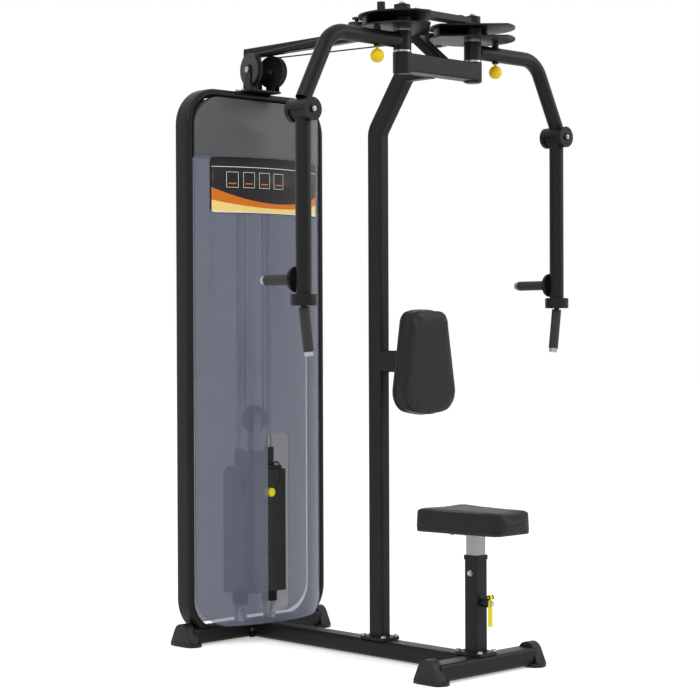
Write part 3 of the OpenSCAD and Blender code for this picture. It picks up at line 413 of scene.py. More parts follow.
def _weld_tree() -> bpy.types.NodeTree:
    """Make the node tree behind smooth_by_angle.

    Returns:
        The tree, whose inputs are the geometry and the angle past which an edge stays sharp.
    """
    tree = bpy.data.node_groups.new("weld_and_smooth", "GeometryNodeTree")
    tree.interface.new_socket("Geometry", in_out="INPUT", socket_type="NodeSocketGeometry")
    tree.interface.new_socket("Sharp angle", in_out="INPUT", socket_type="NodeSocketFloat")
    tree.interface.new_socket("Geometry", in_out="OUTPUT", socket_type="NodeSocketGeometry")
    nodes, links = tree.nodes, tree.links
    source, sink = nodes.new("NodeGroupInput"), nodes.new("NodeGroupOutput")
    weld = nodes.new("GeometryNodeMergeByDistance")
    weld.inputs["Distance"].default_value = WELD_DISTANCE
    angle = nodes.new("GeometryNodeInputMeshEdgeAngle")
    blunt = nodes.new("FunctionNodeCompare")
    blunt.operation = "LESS_THAN"
    faces = nodes.new("GeometryNodeSetShadeSmooth")
    edges = nodes.new("GeometryNodeSetShadeSmooth")
    edges.domain = "EDGE"
    links.new(source.outputs[0], weld.inputs[0])
    links.new(weld.outputs[0], faces.inputs["Geometry"])
    links.new(faces.outputs[0], edges.inputs["Geometry"])
    links.new(angle.outputs["Unsigned Angle"], blunt.inputs[0])
    links.new(source.outputs[1], blunt.inputs[1])
    links.new(blunt.outputs[0], edges.inputs["Shade Smooth"])
    links.new(edges.outputs[0], sink.inputs[0])
    return tree


def angles(count: int) -> list[float]:
    """Even angles round a full turn."""
    return [2 * math.pi * k / count for k in range(count)]


def finished(work: bmesh.types.BMesh, name: str) -> bpy.types.Mesh:
    """Turn a working form into a mesh, and free it.

    Args:
        work: The working form.
        name: The mesh's name.

    Returns:
        The mesh.
    """
    mesh = bpy.data.meshes.new(name)
    work.to_mesh(mesh)
    work.free()
    return mesh


def new_ring(work: bmesh.types.BMesh, centre: Vector, across: Vector, other: Vector, radius: float,
             sides: int) -> list[bmesh.types.BMVert]:
    """Put a ring of new points round a centre.

    Args:
        work: The working form.
        centre: The ring's centre.
        across: One direction in the ring's plane.
        other: The direction square to it.
        radius: The ring's radius.
        sides: How many points it has.

    Returns:
        The points.
    """
    return [work.verts.new(centre + radius * (across * math.cos(a) + other * math.sin(a)))
            for a in angles(sides)]


def join_rings(work: bmesh.types.BMesh, low: list[bmesh.types.BMVert],
               high: list[bmesh.types.BMVert]) -> None:
    """Put faces between two rings.

    Args:
        work: The working form.
        low: The first ring.
        high: The next ring, of as many points.
    """
    for k in range(len(low)):
        n = (k + 1) % len(low)
        work.faces.new((low[k], low[n], high[n], high[k]))


def cap_ends(work: bmesh.types.BMesh, rings: list[list[bmesh.types.BMVert]]) -> None:
    """Close a run of rings with a face at each end."""
    work.faces.new(list(reversed(rings[0])))
    work.faces.new(rings[-1])


# Straight steps for each stretch between two points of a smooth path.
CURVE_STEPS = 24


def smooth_path(points: Sequence[Vector], step: float) -> list[Vector]:
    """Even points along a smooth curve through the given ones.

    Args:
        points: The points to pass through.
        step: Distance between the new points, about.

    Returns:
        The new points.
    """
    dense: list[Vector] = []
    last = len(points) - 1
    for i in range(last):
        before, a, b, after = (points[max(i - 1, 0)], points[i], points[i + 1], points[min(i + 2, last)])
        for k in range(CURVE_STEPS):
            t = k / CURVE_STEPS
            dense.append(0.5 * (2 * a + (b - before) * t + (2 * before - 5 * a + 4 * b - after) * t * t
                                + (3 * a - before - 3 * b + after) * t ** 3))
    dense.append(points[-1].copy())
    total = path_length(dense)
    count = max(2, round(total / step))
    even, travelled, i = [dense[0]], 0.0, 0
    for k in range(1, count):
        goal = total * k / count
        while travelled + (dense[i + 1] - dense[i]).length < goal:
            travelled += (dense[i + 1] - dense[i]).length
            i += 1
        share = (goal - travelled) / (dense[i + 1] - dense[i]).length
        even.append(dense[i].lerp(dense[i + 1], share))
    even.append(dense[-1])
    return even


def path_length(points: Sequence[Vector]) -> float:
    """Length of a path through points."""
    return sum((b - a).length for a, b in zip(points, points[1:]))


def carried_frames(points: Sequence[Vector]) -> list[tuple[Vector, Vector]]:
    """Two directions across a path at each point, carried along it without a twist.

    Args:
        points: The path.

    Returns:
        At each point, two directions square to the path and to each other.
    """
    last = len(points) - 1
    along = [(points[min(i + 1, last)] - points[max(i - 1, 0)]).normalized() for i in range(last + 1)]
    across = along[0].orthogonal().normalized()
    frames = []
    for before, now in zip([along[0]] + along, along):
        across = before.rotation_difference(now) @ across
        across = (across - now * across.dot(now)).normalized()
        frames.append((across, now.cross(across)))
    return frames


def helix(axis: Sequence[Vector], radius: float, pitch: float, per_turn: int, lead: float) -> list[Vector]:
    """A coil round an axis, which leaves and meets the axis at its ends.

    Args:
        axis: Even points on the axis.
        radius: Radius of the coil.
        pitch: Distance from one turn to the next.
        per_turn: Points on a turn.
        lead: Length over which the coil opens.

    Returns:
        The coil's points.
    """
    total = path_length(axis)
    frames = carried_frames(axis)
    count = round(total / pitch * per_turn)
    coil, angle = [], 0.0
    for k in range(count + 1):
        travel = total * k / count
        place = travel / total * (len(axis) - 1)
        i = min(int(place), len(axis) - 2)
        centre = axis[i].lerp(axis[i + 1], place - i)
        across, other = frames[i]
        open_by = min(1.0, travel / lead, (total - travel) / lead)
        angle += 2 * math.pi * total / count / pitch * open_by ** 2
        coil.append(centre + radius * open_by * (across * math.cos(angle) + other * math.sin(angle)))
    return coil


def tube_mesh(name: str, points: Sequence[Vector], radius: float, sides: int) -> bpy.types.Mesh:
    """A closed round tube along points.

    Args:
        name: The mesh's name.
        points: The points it follows.
        radius: Its radius.
        sides: Faces round it.

    Returns:
        The mesh.
    """
    work = bmesh.new()
    rings = [new_ring(work, point, across, other, radius, sides)
             for point, (across, other) in zip(points, carried_frames(points))]
    for low, high in zip(rings, rings[1:]):
        join_rings(work, low, high)
    cap_ends(work, rings)
    return finished(work, name)


def ring_tube(name: str, points: Sequence[Vector], radius: float, sides: int) -> bpy.types.Mesh:
    """A round tube along a closed loop of points.

    Args:
        name: The mesh's name.
        points: The loop.
        radius: The tube's radius.
        sides: Faces round it.

    Returns:
        The mesh.
    """
    work = bmesh.new()
    count = len(points)
    middle = sum(points, Vector()) / count
    rings = []
    for i, point in enumerate(points):
        along = (points[(i + 1) % count] - points[i - 1]).normalized()
        across = (point - middle).cross(along).cross(along).normalized()
        rings.append(new_ring(work, point, across, along.cross(across), radius, sides))
    for i in range(count):
        join_rings(work, rings[i], rings[(i + 1) % count])
    bmesh.ops.recalc_face_normals(work, faces=work.faces)
    return finished(work, name)


def grain_mesh(length: float, radius: float) -> bpy.types.Mesh:
    """A small rounded bar along X, for a stitch, a staple or a ripple of weld.

    Args:
        length: Its length.
        radius: Its radius.

    Returns:
        The mesh, of 80 faces.
    """
    work = bmesh.new()
    bmesh.ops.create_icosphere(work, subdivisions=2, radius=radius)
    for vertex in work.verts:
        vertex.co.x *= length / (2 * radius)
    return finished(work, "grain")


def _repeat_tree() -> bpy.types.NodeTree:
    """Make, once, the node tree that sets one small form at even steps along a closed path.

    Returns:
        The tree, whose inputs are the path, the form, the step and the finish.
    """
    known = bpy.data.node_groups.get("repeat_along_path")
    if known:
        return known
    tree = bpy.data.node_groups.new("repeat_along_path", "GeometryNodeTree")
    kinds = {"Geometry": "Geometry", "Form": "Object", "Step": "Float", "Finish": "Material"}
    for label, kind in kinds.items():
        tree.interface.new_socket(label, in_out="INPUT", socket_type=f"NodeSocket{kind}")
    tree.interface.new_socket("Geometry", in_out="OUTPUT", socket_type="NodeSocketGeometry")
    names = ("NodeGroupInput", "GeometryNodeMeshToCurve", "FunctionNodeAlignRotationToVector",
             "GeometryNodeObjectInfo", "GeometryNodeCurveToPoints", "GeometryNodeInstanceOnPoints",
             "GeometryNodeRealizeInstances", "GeometryNodeSetMaterial", "NodeGroupOutput")
    given, curve, align, form, points, instance, real, dress, out = (tree.nodes.new(n) for n in names)
    points.mode = "LENGTH"
    align.axis = "X"
    link = tree.links.new
    link(given.outputs["Geometry"], curve.inputs[0])
    link(curve.outputs[0], points.inputs[0])
    link(given.outputs["Step"], points.inputs["Length"])
    link(given.outputs["Form"], form.inputs[0])
    link(points.outputs["Points"], instance.inputs["Points"])
    link(points.outputs["Tangent"], align.inputs["Vector"])
    link(align.outputs[0], instance.inputs["Rotation"])
    link(form.outputs["Geometry"], instance.inputs["Instance"])
    link(instance.outputs[0], real.inputs[0])
    link(real.outputs[0], dress.inputs["Geometry"])
    link(given.outputs["Finish"], dress.inputs["Material"])
    link(dress.outputs[0], out.inputs[0])
    return tree


def repeat_along(name: str, points: Sequence[Vector], form: bpy.types.Mesh, step: float,
                 finish: Finish) -> bpy.types.Object:
    """Set a small form at even steps along a closed path, as one mesh.

    Args:
        name: The new object's name.
        points: The closed path.
        form: The small form, long along X.
        step: Distance between two copies.
        finish: Their finish.

    Returns:
        The object with all the copies.
    """
    path = bpy.data.meshes.new(name + "_path")
    count = len(points)
    path.from_pydata([tuple(p) for p in points], [(i, (i + 1) % count) for i in range(count)], [])
    piece = new_object(name, path, finish)
    pattern = bpy.data.objects.new(name + "_form", form)
    rows = piece.modifiers.new("rows", "NODES")
    rows.node_group = _repeat_tree()
    given = {"Form": pattern, "Step": step, "Finish": finish.build()}
    for item in rows.node_group.interface.items_tree:
        if item.name in given:
            rows[item.identifier] = given[item.name]
    apply_modifiers(piece)
    bpy.data.objects.remove(pattern)
    return piece


# A radius under which a ring is one point on the axis.
ON_AXIS = 1e-7


def revolve(name: str, profile: Sequence[tuple[float, float]], sides: int = 32) -> bpy.types.Mesh:
    """A turned form round Z, closed where its radius is 0.

    Args:
        name: The mesh's name.
        profile: Radius and height of each ring.
        sides: Faces round it.

    Returns:
        The mesh.
    """
    work = bmesh.new()
    rings = []
    for radius, height in profile:
        if radius < ON_AXIS:
            rings.append([work.verts.new((0, 0, height))])
        else:
            rings.append([work.verts.new((radius * math.cos(a), radius * math.sin(a), height))
                          for a in angles(sides)])
    for low, high in zip(rings, rings[1:]):
        for k in range(sides):
            n = (k + 1) % sides
            corners = [low[k % len(low)], low[n % len(low)], high[n % len(high)], high[k % len(high)]]
            work.faces.new(list(dict.fromkeys(corners)))
    bmesh.ops.recalc_face_normals(work, faces=work.faces)
    return finished(work, name)


# Radius and height of the rings of a washer and a domed head, as shares of the head's radius.
WASHER = ((0, -0.3), (1.55, -0.3), (1.62, 0.05), (1.55, 0.22), (0, 0.22))
HEX_HEAD = ((0, 0.2), (1, 0.2), (1, 0.72), (0.86, 0.9), (0.42, 0.93), (0.36, 0.6), (0, 0.55))
WASHER_SIDES, HEX_SIDES = 28, 6


def bolt_head(name: str, body: str, place: Vector, facing: Vector, radius: float) -> None:
    """A washer with a domed hexagon head on it.

    Args:
        name: The piece's name.
        body: The body it rides on.
        place: Centre of the washer's seat.
        facing: Direction away from the seat.
        radius: Radius over the head's corners.
    """
    work = bmesh.new()
    for profile, sides in ((WASHER, WASHER_SIDES), (HEX_HEAD, HEX_SIDES)):
        work.from_mesh(revolve(name, [(x * radius, z * radius) for x, z in profile], sides))
    mesh = finished(work, name)
    mesh.transform(Matrix.Translation(place) @ facing.to_track_quat("Z", "Y").to_matrix().to_4x4())
    place_piece(new_object(name, mesh, BRIGHT_STEEL, smooth=False), body, "bright_steel")


# ---------- studio ----------


@dataclass(frozen=True)
class Studio:
    """Camera, lamps, floor and world.

    Attributes:
        eye: The camera's place.
        heading: Where it looks, in degrees from +Y towards +X.
        pitch: How far it looks down, in degrees.
        roll: Its roll, in degrees.
        lens: Focal length in mm.
        sensor: Width of the sensor in mm.
        aim: Height at which the lamps look.
        fill: Strength of the world's light on the object.
        floor_half: Half the floor's side.
        floor_grey: The floor's colour.
        floor_glow: How much the floor is lifted towards white where it is seen.
        lamps: Name, place, side and power in watts of each lamp.
    """

    eye: tuple[float, float, float] = (-4.3968, -4.4007, 1.0724)
    heading: float = 44.44
    pitch: float = 0.514
    roll: float = -0.216
    lens: float = 96.2
    sensor: float = 36.0
    aim: float = 1.0
    fill: float = 0.75
    floor_half: float = 30.0
    floor_grey: float = 0.86
    floor_glow: float = 0.42
    lamps: tuple[tuple[str, tuple[float, float, float], float, float], ...] = (
        ("key_lamp", (-3.6, -1.2, 4.4), 2.2, 75.0),
        ("side_lamp", (3.2, -3.4, 3.4), 2.4, 60.0))

    def build(self) -> None:
        """Make the camera, the lamps, the floor and the world."""
        scene = bpy.context.scene
        scene.view_settings.view_transform = "Standard"
        self._camera(scene)
        self._floor()
        self._world(scene)
        for lamp in self.lamps:
            self._lamp(*lamp)

    def _camera(self, scene: bpy.types.Scene) -> None:
        """Put the camera at the eye.

        Args:
            scene: The scene that looks through it.
        """
        data = bpy.data.cameras.new("camera")
        data.lens, data.sensor_width = self.lens, self.sensor
        data.clip_start, data.clip_end = 0.1, 100.0
        camera = bpy.data.objects.new("camera", data)
        scene.collection.objects.link(camera)
        a, p = math.radians(self.heading), math.radians(self.pitch)
        ahead = Vector((math.sin(a) * math.cos(p), math.cos(a) * math.cos(p), -math.sin(p)))
        turned = ahead.to_track_quat("-Z", "Y").to_matrix().to_4x4()
        camera.matrix_world = (
            Matrix.Translation(self.eye) @ turned @ Matrix.Rotation(math.radians(self.roll), 4, "Z"))
        scene.camera = camera

    def _lamp(self, name: str, place: Sequence[float], size: float, power: float) -> None:
        """Hang one square soft lamp, aimed at the machine's middle.

        Args:
            name: The lamp's name.
            place: Where it hangs.
            size: Its side.
            power: Its power in watts.
        """
        data = bpy.data.lights.new(name, "AREA")
        data.size, data.energy = size, power
        lamp = bpy.data.objects.new(name, data)
        bpy.context.scene.collection.objects.link(lamp)
        lamp.location = place
        ahead = Vector((0, 0, self.aim)) - Vector(place)
        lamp.rotation_euler = ahead.to_track_quat("-Z", "Y").to_euler()

    def _floor(self) -> None:
        """A pale floor that keeps the machine's shadow and meets the white world."""
        mesh = bpy.data.meshes.new("floor")
        half, grey = self.floor_half, self.floor_grey
        corners = [(-half, -half, 0), (half, -half, 0), (half, half, 0), (-half, half, 0)]
        mesh.from_pydata(corners, [], [(0, 1, 2, 3)])
        floor = bpy.data.objects.new("floor", mesh)
        bpy.context.scene.collection.objects.link(floor)
        material = bpy.data.materials.new("pale_floor")
        material.use_nodes = True
        tree = material.node_tree
        tree.nodes.clear()
        output = tree.nodes.new("ShaderNodeOutputMaterial")
        matt = tree.nodes.new("ShaderNodeBsdfDiffuse")
        matt.inputs["Color"].default_value = (grey, grey, grey, 1)
        glow = tree.nodes.new("ShaderNodeEmission")
        both = tree.nodes.new("ShaderNodeAddShader")
        tree.links.new(self._seen(tree, self.floor_glow), glow.inputs["Strength"])
        tree.links.new(matt.outputs[0], both.inputs[0])
        tree.links.new(glow.outputs[0], both.inputs[1])
        tree.links.new(both.outputs[0], output.inputs["Surface"])
        mesh.materials.append(material)
        floor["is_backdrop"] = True

    def _seen(self, tree: bpy.types.NodeTree, value: float, other: float = 0.0) -> bpy.types.NodeSocket:
        """Tell what is seen from what lights the object.

        Args:
            tree: The nodes of the floor's material or of the world.
            value: The value where the camera, a mirror or a clear sheet sees it.
            other: The value for the light that it gives.

        Returns:
            A socket that gives the value.
        """
        path = tree.nodes.new("ShaderNodeLightPath")
        seen = path.outputs["Is Camera Ray"]
        for kind in ("Is Glossy Ray", "Is Transmission Ray"):
            most = tree.nodes.new("ShaderNodeMath")
            most.operation = "MAXIMUM"
            tree.links.new(seen, most.inputs[0])
            tree.links.new(path.outputs[kind], most.inputs[1])
            seen = most.outputs[0]
        span = tree.nodes.new("ShaderNodeMapRange")
        span.inputs["To Min"].default_value = other
        span.inputs["To Max"].default_value = value
        tree.links.new(seen, span.inputs["Value"])
        return span.outputs["Result"]

    def _world(self, scene: bpy.types.Scene) -> None:
        """Make an even pale world, white where it is seen.

        Args:
            scene: The scene that it surrounds.
        """
        world = bpy.data.worlds.new("studio")
        scene.world = world
        world.use_nodes = True
        tree = world.node_tree
        back = tree.nodes["Background"]
        back.inputs["Color"].default_value = (1, 1, 1, 1)
        tree.links.new(self._seen(tree, 1.0, self.fill), back.inputs["Strength"])


# ---------- the machine ----------


# Where the weight stack, the seat post and the column stand along Y.
STACK_Y = 0.56925
SEAT_Y = -0.47875
COLUMN_Y = -0.05275


@dataclass
class Metalwork:
    """Every CAD node that keeps its shape, with its finish.

    Attributes:
        finishes: The finish of each material slot.
        exceptions: Nodes whose finish isn't their slot's.
    """

    finishes: dict[str, Finish] = field(default_factory=lambda: FINISHES)
    exceptions: dict[str, Finish] = field(default_factory=lambda: NODE_FINISHES)

    def dress(self, frame: dict) -> None:
        """Give each CAD node its finish and welded, smooth shading.
        """
        slot_of = {part["node"]: part["material_slot"] for part in frame["record"]["subparts"]}
        for name, obj in frame["nodes"].items():
            material = self.exceptions.get(name, self.finishes[slot_of[name]]).build()
            obj.data.materials.clear()
            obj.data.materials.append(material)
            smooth_by_angle(obj)
        log.info("%d nodes dressed", len(frame["nodes"]))


@dataclass
class Lanyard:
    """The coiled lanyard from the head casting to the selector pin.

    Attributes:
        route: Points on the coil's axis, in mm, from the stack's axis.
        wire: Diameter of the cord.
        coil_r: Radius of the coil, to the cord's centre.
        pitch: Distance from one turn to the next.
        per_turn: Points on a turn.
        lead: Length over which the coil opens at each end.
        sides: Faces round the cord.
        axis_step: Distance between two points of the smoothed axis.
    """

    route: tuple[tuple[float, float, float], ...] = (
        (34, -41, 608.5), (34, -52, 610), (34, -64, 615), (34, -76, 619), (34, -86, 618), (34, -93, 612),
        (34, -97, 603), (33, -99, 592), (32, -100, 580), (30, -100, 567), (27, -99, 555), (22, -96, 544),
        (17, -92, 536), (13, -88, 531))
    wire: float = 1.3 * MM
    coil_r: float = 3.2 * MM
    pitch: float = 3.4 * MM
    per_turn: int = 14
    lead: float = 9 * MM
    sides: int = 8
    axis_step: float = 0.5 * MM

    def build(self) -> bpy.types.Object:
        """Make the coil that runs between the stack and the pin, in place of the CAD lanyard.

        Returns:
            The coil.
        """
        axis = [Vector((x * MM, STACK_Y + y * MM, z * MM)) for x, y, z in self.route]
        path = helix(smooth_path(axis, self.axis_step), self.coil_r, self.pitch, self.per_turn, self.lead)
        cord = tube_mesh("pin_lanyard_coil", path, self.wire / 2, self.sides)
        coil = new_object("pin_lanyard_coil", cord, CABLE)
        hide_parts("pin_lanyard")
        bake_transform(coil)
        return coil


@dataclass
class LiftCables:
    """The two falls of cable that shorten as the stack rises.

    Attributes:
        low: Height of their lower ends.
        high: Height of their upper ends.
        lift: How far the stack rises. Not used.
        fall_x: Distance of each from the middle.
        radius: The cable's radius.
        steps: Stretches along each fall.
        sides: Faces round the cable.
    """

    low: float = 0.7702
    high: float = 1.9959
    lift: float = 0.1345
    fall_x: float = 0.042
    radius: float = 2.5 * MM
    steps: int = 12
    sides: int = 14

    def build(self) -> bpy.types.Object:
        """Make both falls in one piece and hang them on the frame in place of the CAD cables.

        Returns:
            The falls.
        """
        full = self.high - self.low
        falls = bmesh.new()
        for side in (-1, 1):
            points = [Vector((side * self.fall_x, STACK_Y, self.low + full * i / self.steps))
                      for i in range(self.steps + 1)]
            falls.from_mesh(tube_mesh("fall", points, self.radius, self.sides))
        mesh = finished(falls, "lift_cable_falls")
        piece = new_object("lift_cable_falls", mesh, CABLE)
        place_piece(piece, "frame", "cable_sleeve", "lift_cables")
        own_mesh(piece)
        return piece


VINYL_EDGE = Finish("vinyl_underside", (0.012, 0.012, 0.0125), 0.5, texture=Texture.HIDE, grain=1.6 * MM,
                    relief=0.12 * MM, specular=0.3)
DUST_COVER = Finish("dust_cover", (0.008, 0.008, 0.0085), 0.9, texture=Texture.FOAM, grain=0.7 * MM,
                    relief=0.1 * MM, specular=0.2)
THREAD = Finish("seam_thread", (0.022, 0.022, 0.023), 0.5, texture=Texture.FOAM, grain=0.5 * MM,
                relief=0.05 * MM, specular=0.4)


@dataclass
class Cushion:
    """An upholstered pad: foam and vinyl drawn over a board.

    Attributes:
        name: The piece's name.
        node: The CAD node it stands for.
        body: The body that carries it.
        corners: Centre and radius of each corner arc in the pad's plane, counter-clockwise, in metres.
        thick: Thickness of the pad.
        place: From the pad's own plane, with its back at 0, to the machine.
        bolts: Places of the bolts that hold it, in its own plane.
        top_r: Rounding of the edge of the sitting face.
        low_r: Rounding of the edge at the board.
        slack: How far the foam starts inside the finished outline.
        swell: The furthest that the filling moves a point.
        board: Thickness of the board.
        stitch: Spacing of the stitches along the seam.
        tack: Spacing of the staples in the board.
        voxel: Size of the remeshed faces.
        frames: Steps of the cloth simulation.
        pressure: Pressure of the filling.
        held: Height over the board up to which the vinyl is held.
        piping: Radius of the piped seam.
        skim: How far the thread and the lower seam stand off the vinyl.
        rise: Height of the stitches over the upper seam.
        steps: Steps of a rounded edge.
        board_edge: Inset and height of the board's edge, up from its back.
        cover_edge: Inset and height of the dust cover's edge.
        staple_inset: How far the staples lie inside the outline.
        bolt_r: Radius of the bolts' heads.
        bolt_z: Height of the bolts' seats over the pad's back.
        swell_room: Share of the swell that the form leaves free under its face.
        seam_drop: How far the upper seam lies under the face, as a share of the edge's rounding.
        seam_out: How far outside the pad the seams are first drawn.
        seam_step: Distance between two points of a seam.
        piping_sides: Faces round the piping.
        thread: Length and radius of a stitch.
        staple: Length and radius of a staple.
    """

    name: str
    node: str
    body: str
    corners: list[tuple[float, float, float]]
    thick: float
    place: Matrix
    bolts: list[tuple[float, float]]
    top_r: float = 7 * MM
    low_r: float = 7 * MM
    slack: float = 1.6 * MM
    swell: float = 3.2 * MM
    board: float = 7 * MM
    stitch: float = 5.5 * MM
    tack: float = 21 * MM
    voxel: float = 5 * MM
    frames: int = 20
    pressure: float = 4.0
    held: float = 3 * MM
    piping: float = 1.3 * MM
    skim: float = 0.1 * MM
    rise: float = 4.5 * MM
    steps: int = 6
    board_edge: tuple[tuple[float, float], ...] = (
        (7 * MM, 0.3 * MM), (4.5 * MM, 1.2 * MM), (3.5 * MM, 2.5 * MM))
    cover_edge: tuple[tuple[float, float], ...] = (
        (20 * MM, -0.3 * MM), (19 * MM, 0.1 * MM), (19 * MM, 1.2 * MM))
    staple_inset: float = 15 * MM
    bolt_r: float = 6 * MM
    bolt_z: float = -6 * MM
    swell_room: float = 0.75
    seam_drop: float = 0.55
    seam_out: float = 4 * MM
    seam_step: float = 6 * MM
    piping_sides: int = 8
    thread: tuple[float, float] = (1.9 * MM, 0.5 * MM)
    staple: tuple[float, float] = (4.5 * MM, 0.7 * MM)

    def ring(self, inset: float, height: float, steps: int = 12) -> list[Vector]:
        """The pad's outline at a height over its back.

        Args:
            inset: How far it is moved in.
            height: Its height.
            steps: Steps of each corner's arc.

        Returns:
            The outline's points, counter-clockwise.
        """
        points, count = [], len(self.corners)
        for i, (x, y, radius) in enumerate(self.corners):
            turns = []
            for other, sign in ((self.corners[i - 1], -1), (self.corners[(i + 1) % count], 1)):
                away = Vector((other[0] - x, other[1] - y))
                lean = math.asin((radius - other[2]) / away.length)
                facing = math.atan2(away.y, away.x)
                turns.append(facing - sign * (math.pi / 2 - lean))
            first, last = turns
            while last < first:
                last += 2 * math.pi
            for k in range(steps + 1):
                angle = first + (last - first) * k / steps
                reach = radius - inset
                points.append(Vector((x + reach * math.cos(angle), y + reach * math.sin(angle), height)))
        return points

    def shell(self, name: str, profile: Sequence[tuple[float, float]]) -> bpy.types.Mesh:
        """A closed form from rings, capped at both ends.

        Args:
            name: The mesh's name.
            profile: Inset and height of each ring.

        Returns:
            The mesh.
        """
        work = bmesh.new()
        rings = [[work.verts.new(p) for p in self.ring(*step)] for step in profile]
        for low, high in zip(rings, rings[1:]):
            join_rings(work, low, high)
        cap_ends(work, rings)
        return finished(work, name)

    def _round(self, inset: float, height: float, radius: float, up: bool) -> list[tuple[float, float]]:
        """Steps of a rounded edge between the side wall and a face.

        Args:
            inset: Inset of the side wall.
            height: Height of the face.
            radius: The edge's radius.
            up: Whether the edge rises from the wall to the upper face.

        Returns:
            Inset and height of each step.
        """
        steps = []
        for k in range(self.steps + 1):
            angle = math.pi / 2 * k / self.steps
            if up:
                steps.append((inset + radius * (1 - math.cos(angle)),
                              height - radius + radius * math.sin(angle)))
            else:
                steps.append((inset + radius * (1 - math.sin(angle)),
                              height + radius * (1 - math.cos(angle))))
        return steps

    def build(self) -> None:
        """Make the cushion, its seam, its board and its staples."""
        top = self.thick - self.swell_room * self.swell
        profile = (self._round(self.slack, self.board, self.low_r, False)
                   + self._round(self.slack, top, self.top_r, True))
        cushion = new_object(self.name, self.shell(self.name, profile), VINYL)
        self._fill(cushion)
        seams = self._seams(cushion)
        for piece in [cushion] + seams:
            piece.data.transform(self.place)
            for face in piece.data.polygons:
                face.use_smooth = True
        place_piece(cushion, self.body, "pad_vinyl", self.node)
        for seam in seams:
            place_piece(seam, self.body, "pad_vinyl")
        self._backing()

    def _fill(self, cushion: bpy.types.Object) -> None:
        """Remesh the form, swell it as cloth under pressure, cap the swelling and subdivide it.

        Args:
            cushion: The form, which becomes the filled pad.
        """
        remesh = cushion.modifiers.new("even", "REMESH")
        remesh.mode, remesh.voxel_size = "VOXEL", self.voxel
        apply_modifiers(cushion)
        rest = [v.co.copy() for v in cushion.data.vertices]
        held = cushion.vertex_groups.new(name="held")
        held.add([i for i, co in enumerate(rest) if co.z < self.board + self.held], 1.0, "REPLACE")
        cloth = cushion.modifiers.new("filling", "CLOTH")
        cloth.settings.use_pressure = True
        cloth.settings.uniform_pressure_force = self.pressure
        cloth.settings.vertex_group_mass = "held"
        cloth.settings.effector_weights.gravity = 0
        cloth.point_cache.frame_start, cloth.point_cache.frame_end = 1, self.frames
        for frame in range(1, self.frames + 1):
            bpy.context.scene.frame_set(frame)
        apply_modifiers(cushion)
        for vertex, start in zip(cushion.data.vertices, rest):
            move = vertex.co - start
            if move.length > self.swell:
                vertex.co = start + move * (self.swell / move.length)
        bpy.context.scene.frame_set(1)
        soft = cushion.modifiers.new("smooth", "SMOOTH")
        soft.factor, soft.iterations = 0.5, 4
        finer = cushion.modifiers.new("finer", "SUBSURF")
        finer.levels = finer.render_levels = 1
        apply_modifiers(cushion)

    def _around(self, height: float) -> list[Vector]:
        """Even points round the pad, outside it, at a height over its back."""
        ring = self.ring(-self.seam_out, height)
        return smooth_path(ring + ring[:1], self.seam_step)[:-1]

    def _laid(self, skin: BVHTree, points: Sequence[Vector], proud: float) -> list[Vector]:
        """Lay points on the vinyl.

        Args:
            skin: The pad's surface.
            points: Points near it.
            proud: How far off the surface they end.

        Returns:
            The points on the surface.
        """
        laid = []
        for point in points:
            near, normal, _, _ = skin.find_nearest(point)
            laid.append(near + normal * proud)
        return laid

    def _piped(self, label: str, path: Sequence[Vector]) -> bpy.types.Object:
        """One piped seam.

        Args:
            label: Which seam it is.
            path: The loop that it follows.

        Returns:
            The piping.
        """
        name = f"{self.name}_{label}_piping"
        return new_object(name, ring_tube(name, path, self.piping, self.piping_sides), VINYL)

    def _seams(self, cushion: bpy.types.Object) -> list[bpy.types.Object]:
        """The piped seams between the faces and the side band, and the row of stitches.

        Args:
            cushion: The filled pad.

        Returns:
            The upper seam, its stitches and the lower seam.
        """
        skin = BVHTree.FromObject(cushion, bpy.context.evaluated_depsgraph_get())
        upper = self._around(self.thick - self.seam_drop * self.top_r)
        lower = self._around(self.board + self.low_r)
        above = [point + Vector((0, 0, self.rise)) for point in upper]
        pieces = [self._piped("upper", self._laid(skin, upper, 0.0))]
        pieces.append(repeat_along(f"{self.name}_stitches", self._laid(skin, above, self.skim),
                                   grain_mesh(*self.thread), self.stitch, THREAD))
        pieces.append(self._piped("lower", self._laid(skin, lower, self.skim)))
        return pieces

    def _backing(self) -> None:
        """The board at the pad's back, with the dust cover, its staples and the bolts."""
        edge = [*self.board_edge, (self.board_edge[-1][0], self.board + self.held)]
        board = new_object(self.name + "_board", self.shell(self.name + "_board", edge), VINYL_EDGE,
                           smooth=False)
        cover = new_object(self.name + "_dust_cover", self.shell(self.name + "_dust_cover", self.cover_edge),
                           DUST_COVER, smooth=False)
        staples = repeat_along(self.name + "_staples", self.ring(self.staple_inset, 0.2 * MM),
                               grain_mesh(*self.staple), self.tack, BRIGHT_STEEL)
        for piece in (board, cover, staples):
            piece.data.transform(self.place)
            place_piece(piece, self.body, "bright_steel" if piece is staples else "pad_vinyl")
        for number, (x, y) in enumerate(self.bolts, 1):
            below = self.place @ Vector((x, y, self.bolt_z))
            bolt_head(f"{self.name}_bolt_{number}", self.body, below,
                      self.place.to_3x3() @ Vector((0, 0, -1)), self.bolt_r)


def seat_cushion() -> Cushion:
    """The seat: wider at its back, which lies towards the column."""
    r, front_x, back_x, end_y = 0.034, 0.056, 0.086, 0.131
    corners = [(-front_x, -end_y, r), (front_x, -end_y, r), (back_x, end_y, r), (-back_x, end_y, r)]
    bolts = [(x, y) for y in (-0.06, 0.06) for x in (-0.045, 0.045)]
    return Cushion("seat_cushion", "seat_pad", "seat", corners, thick=0.072,
                   place=Matrix.Translation((0, SEAT_Y, 0.446)), bolts=bolts)


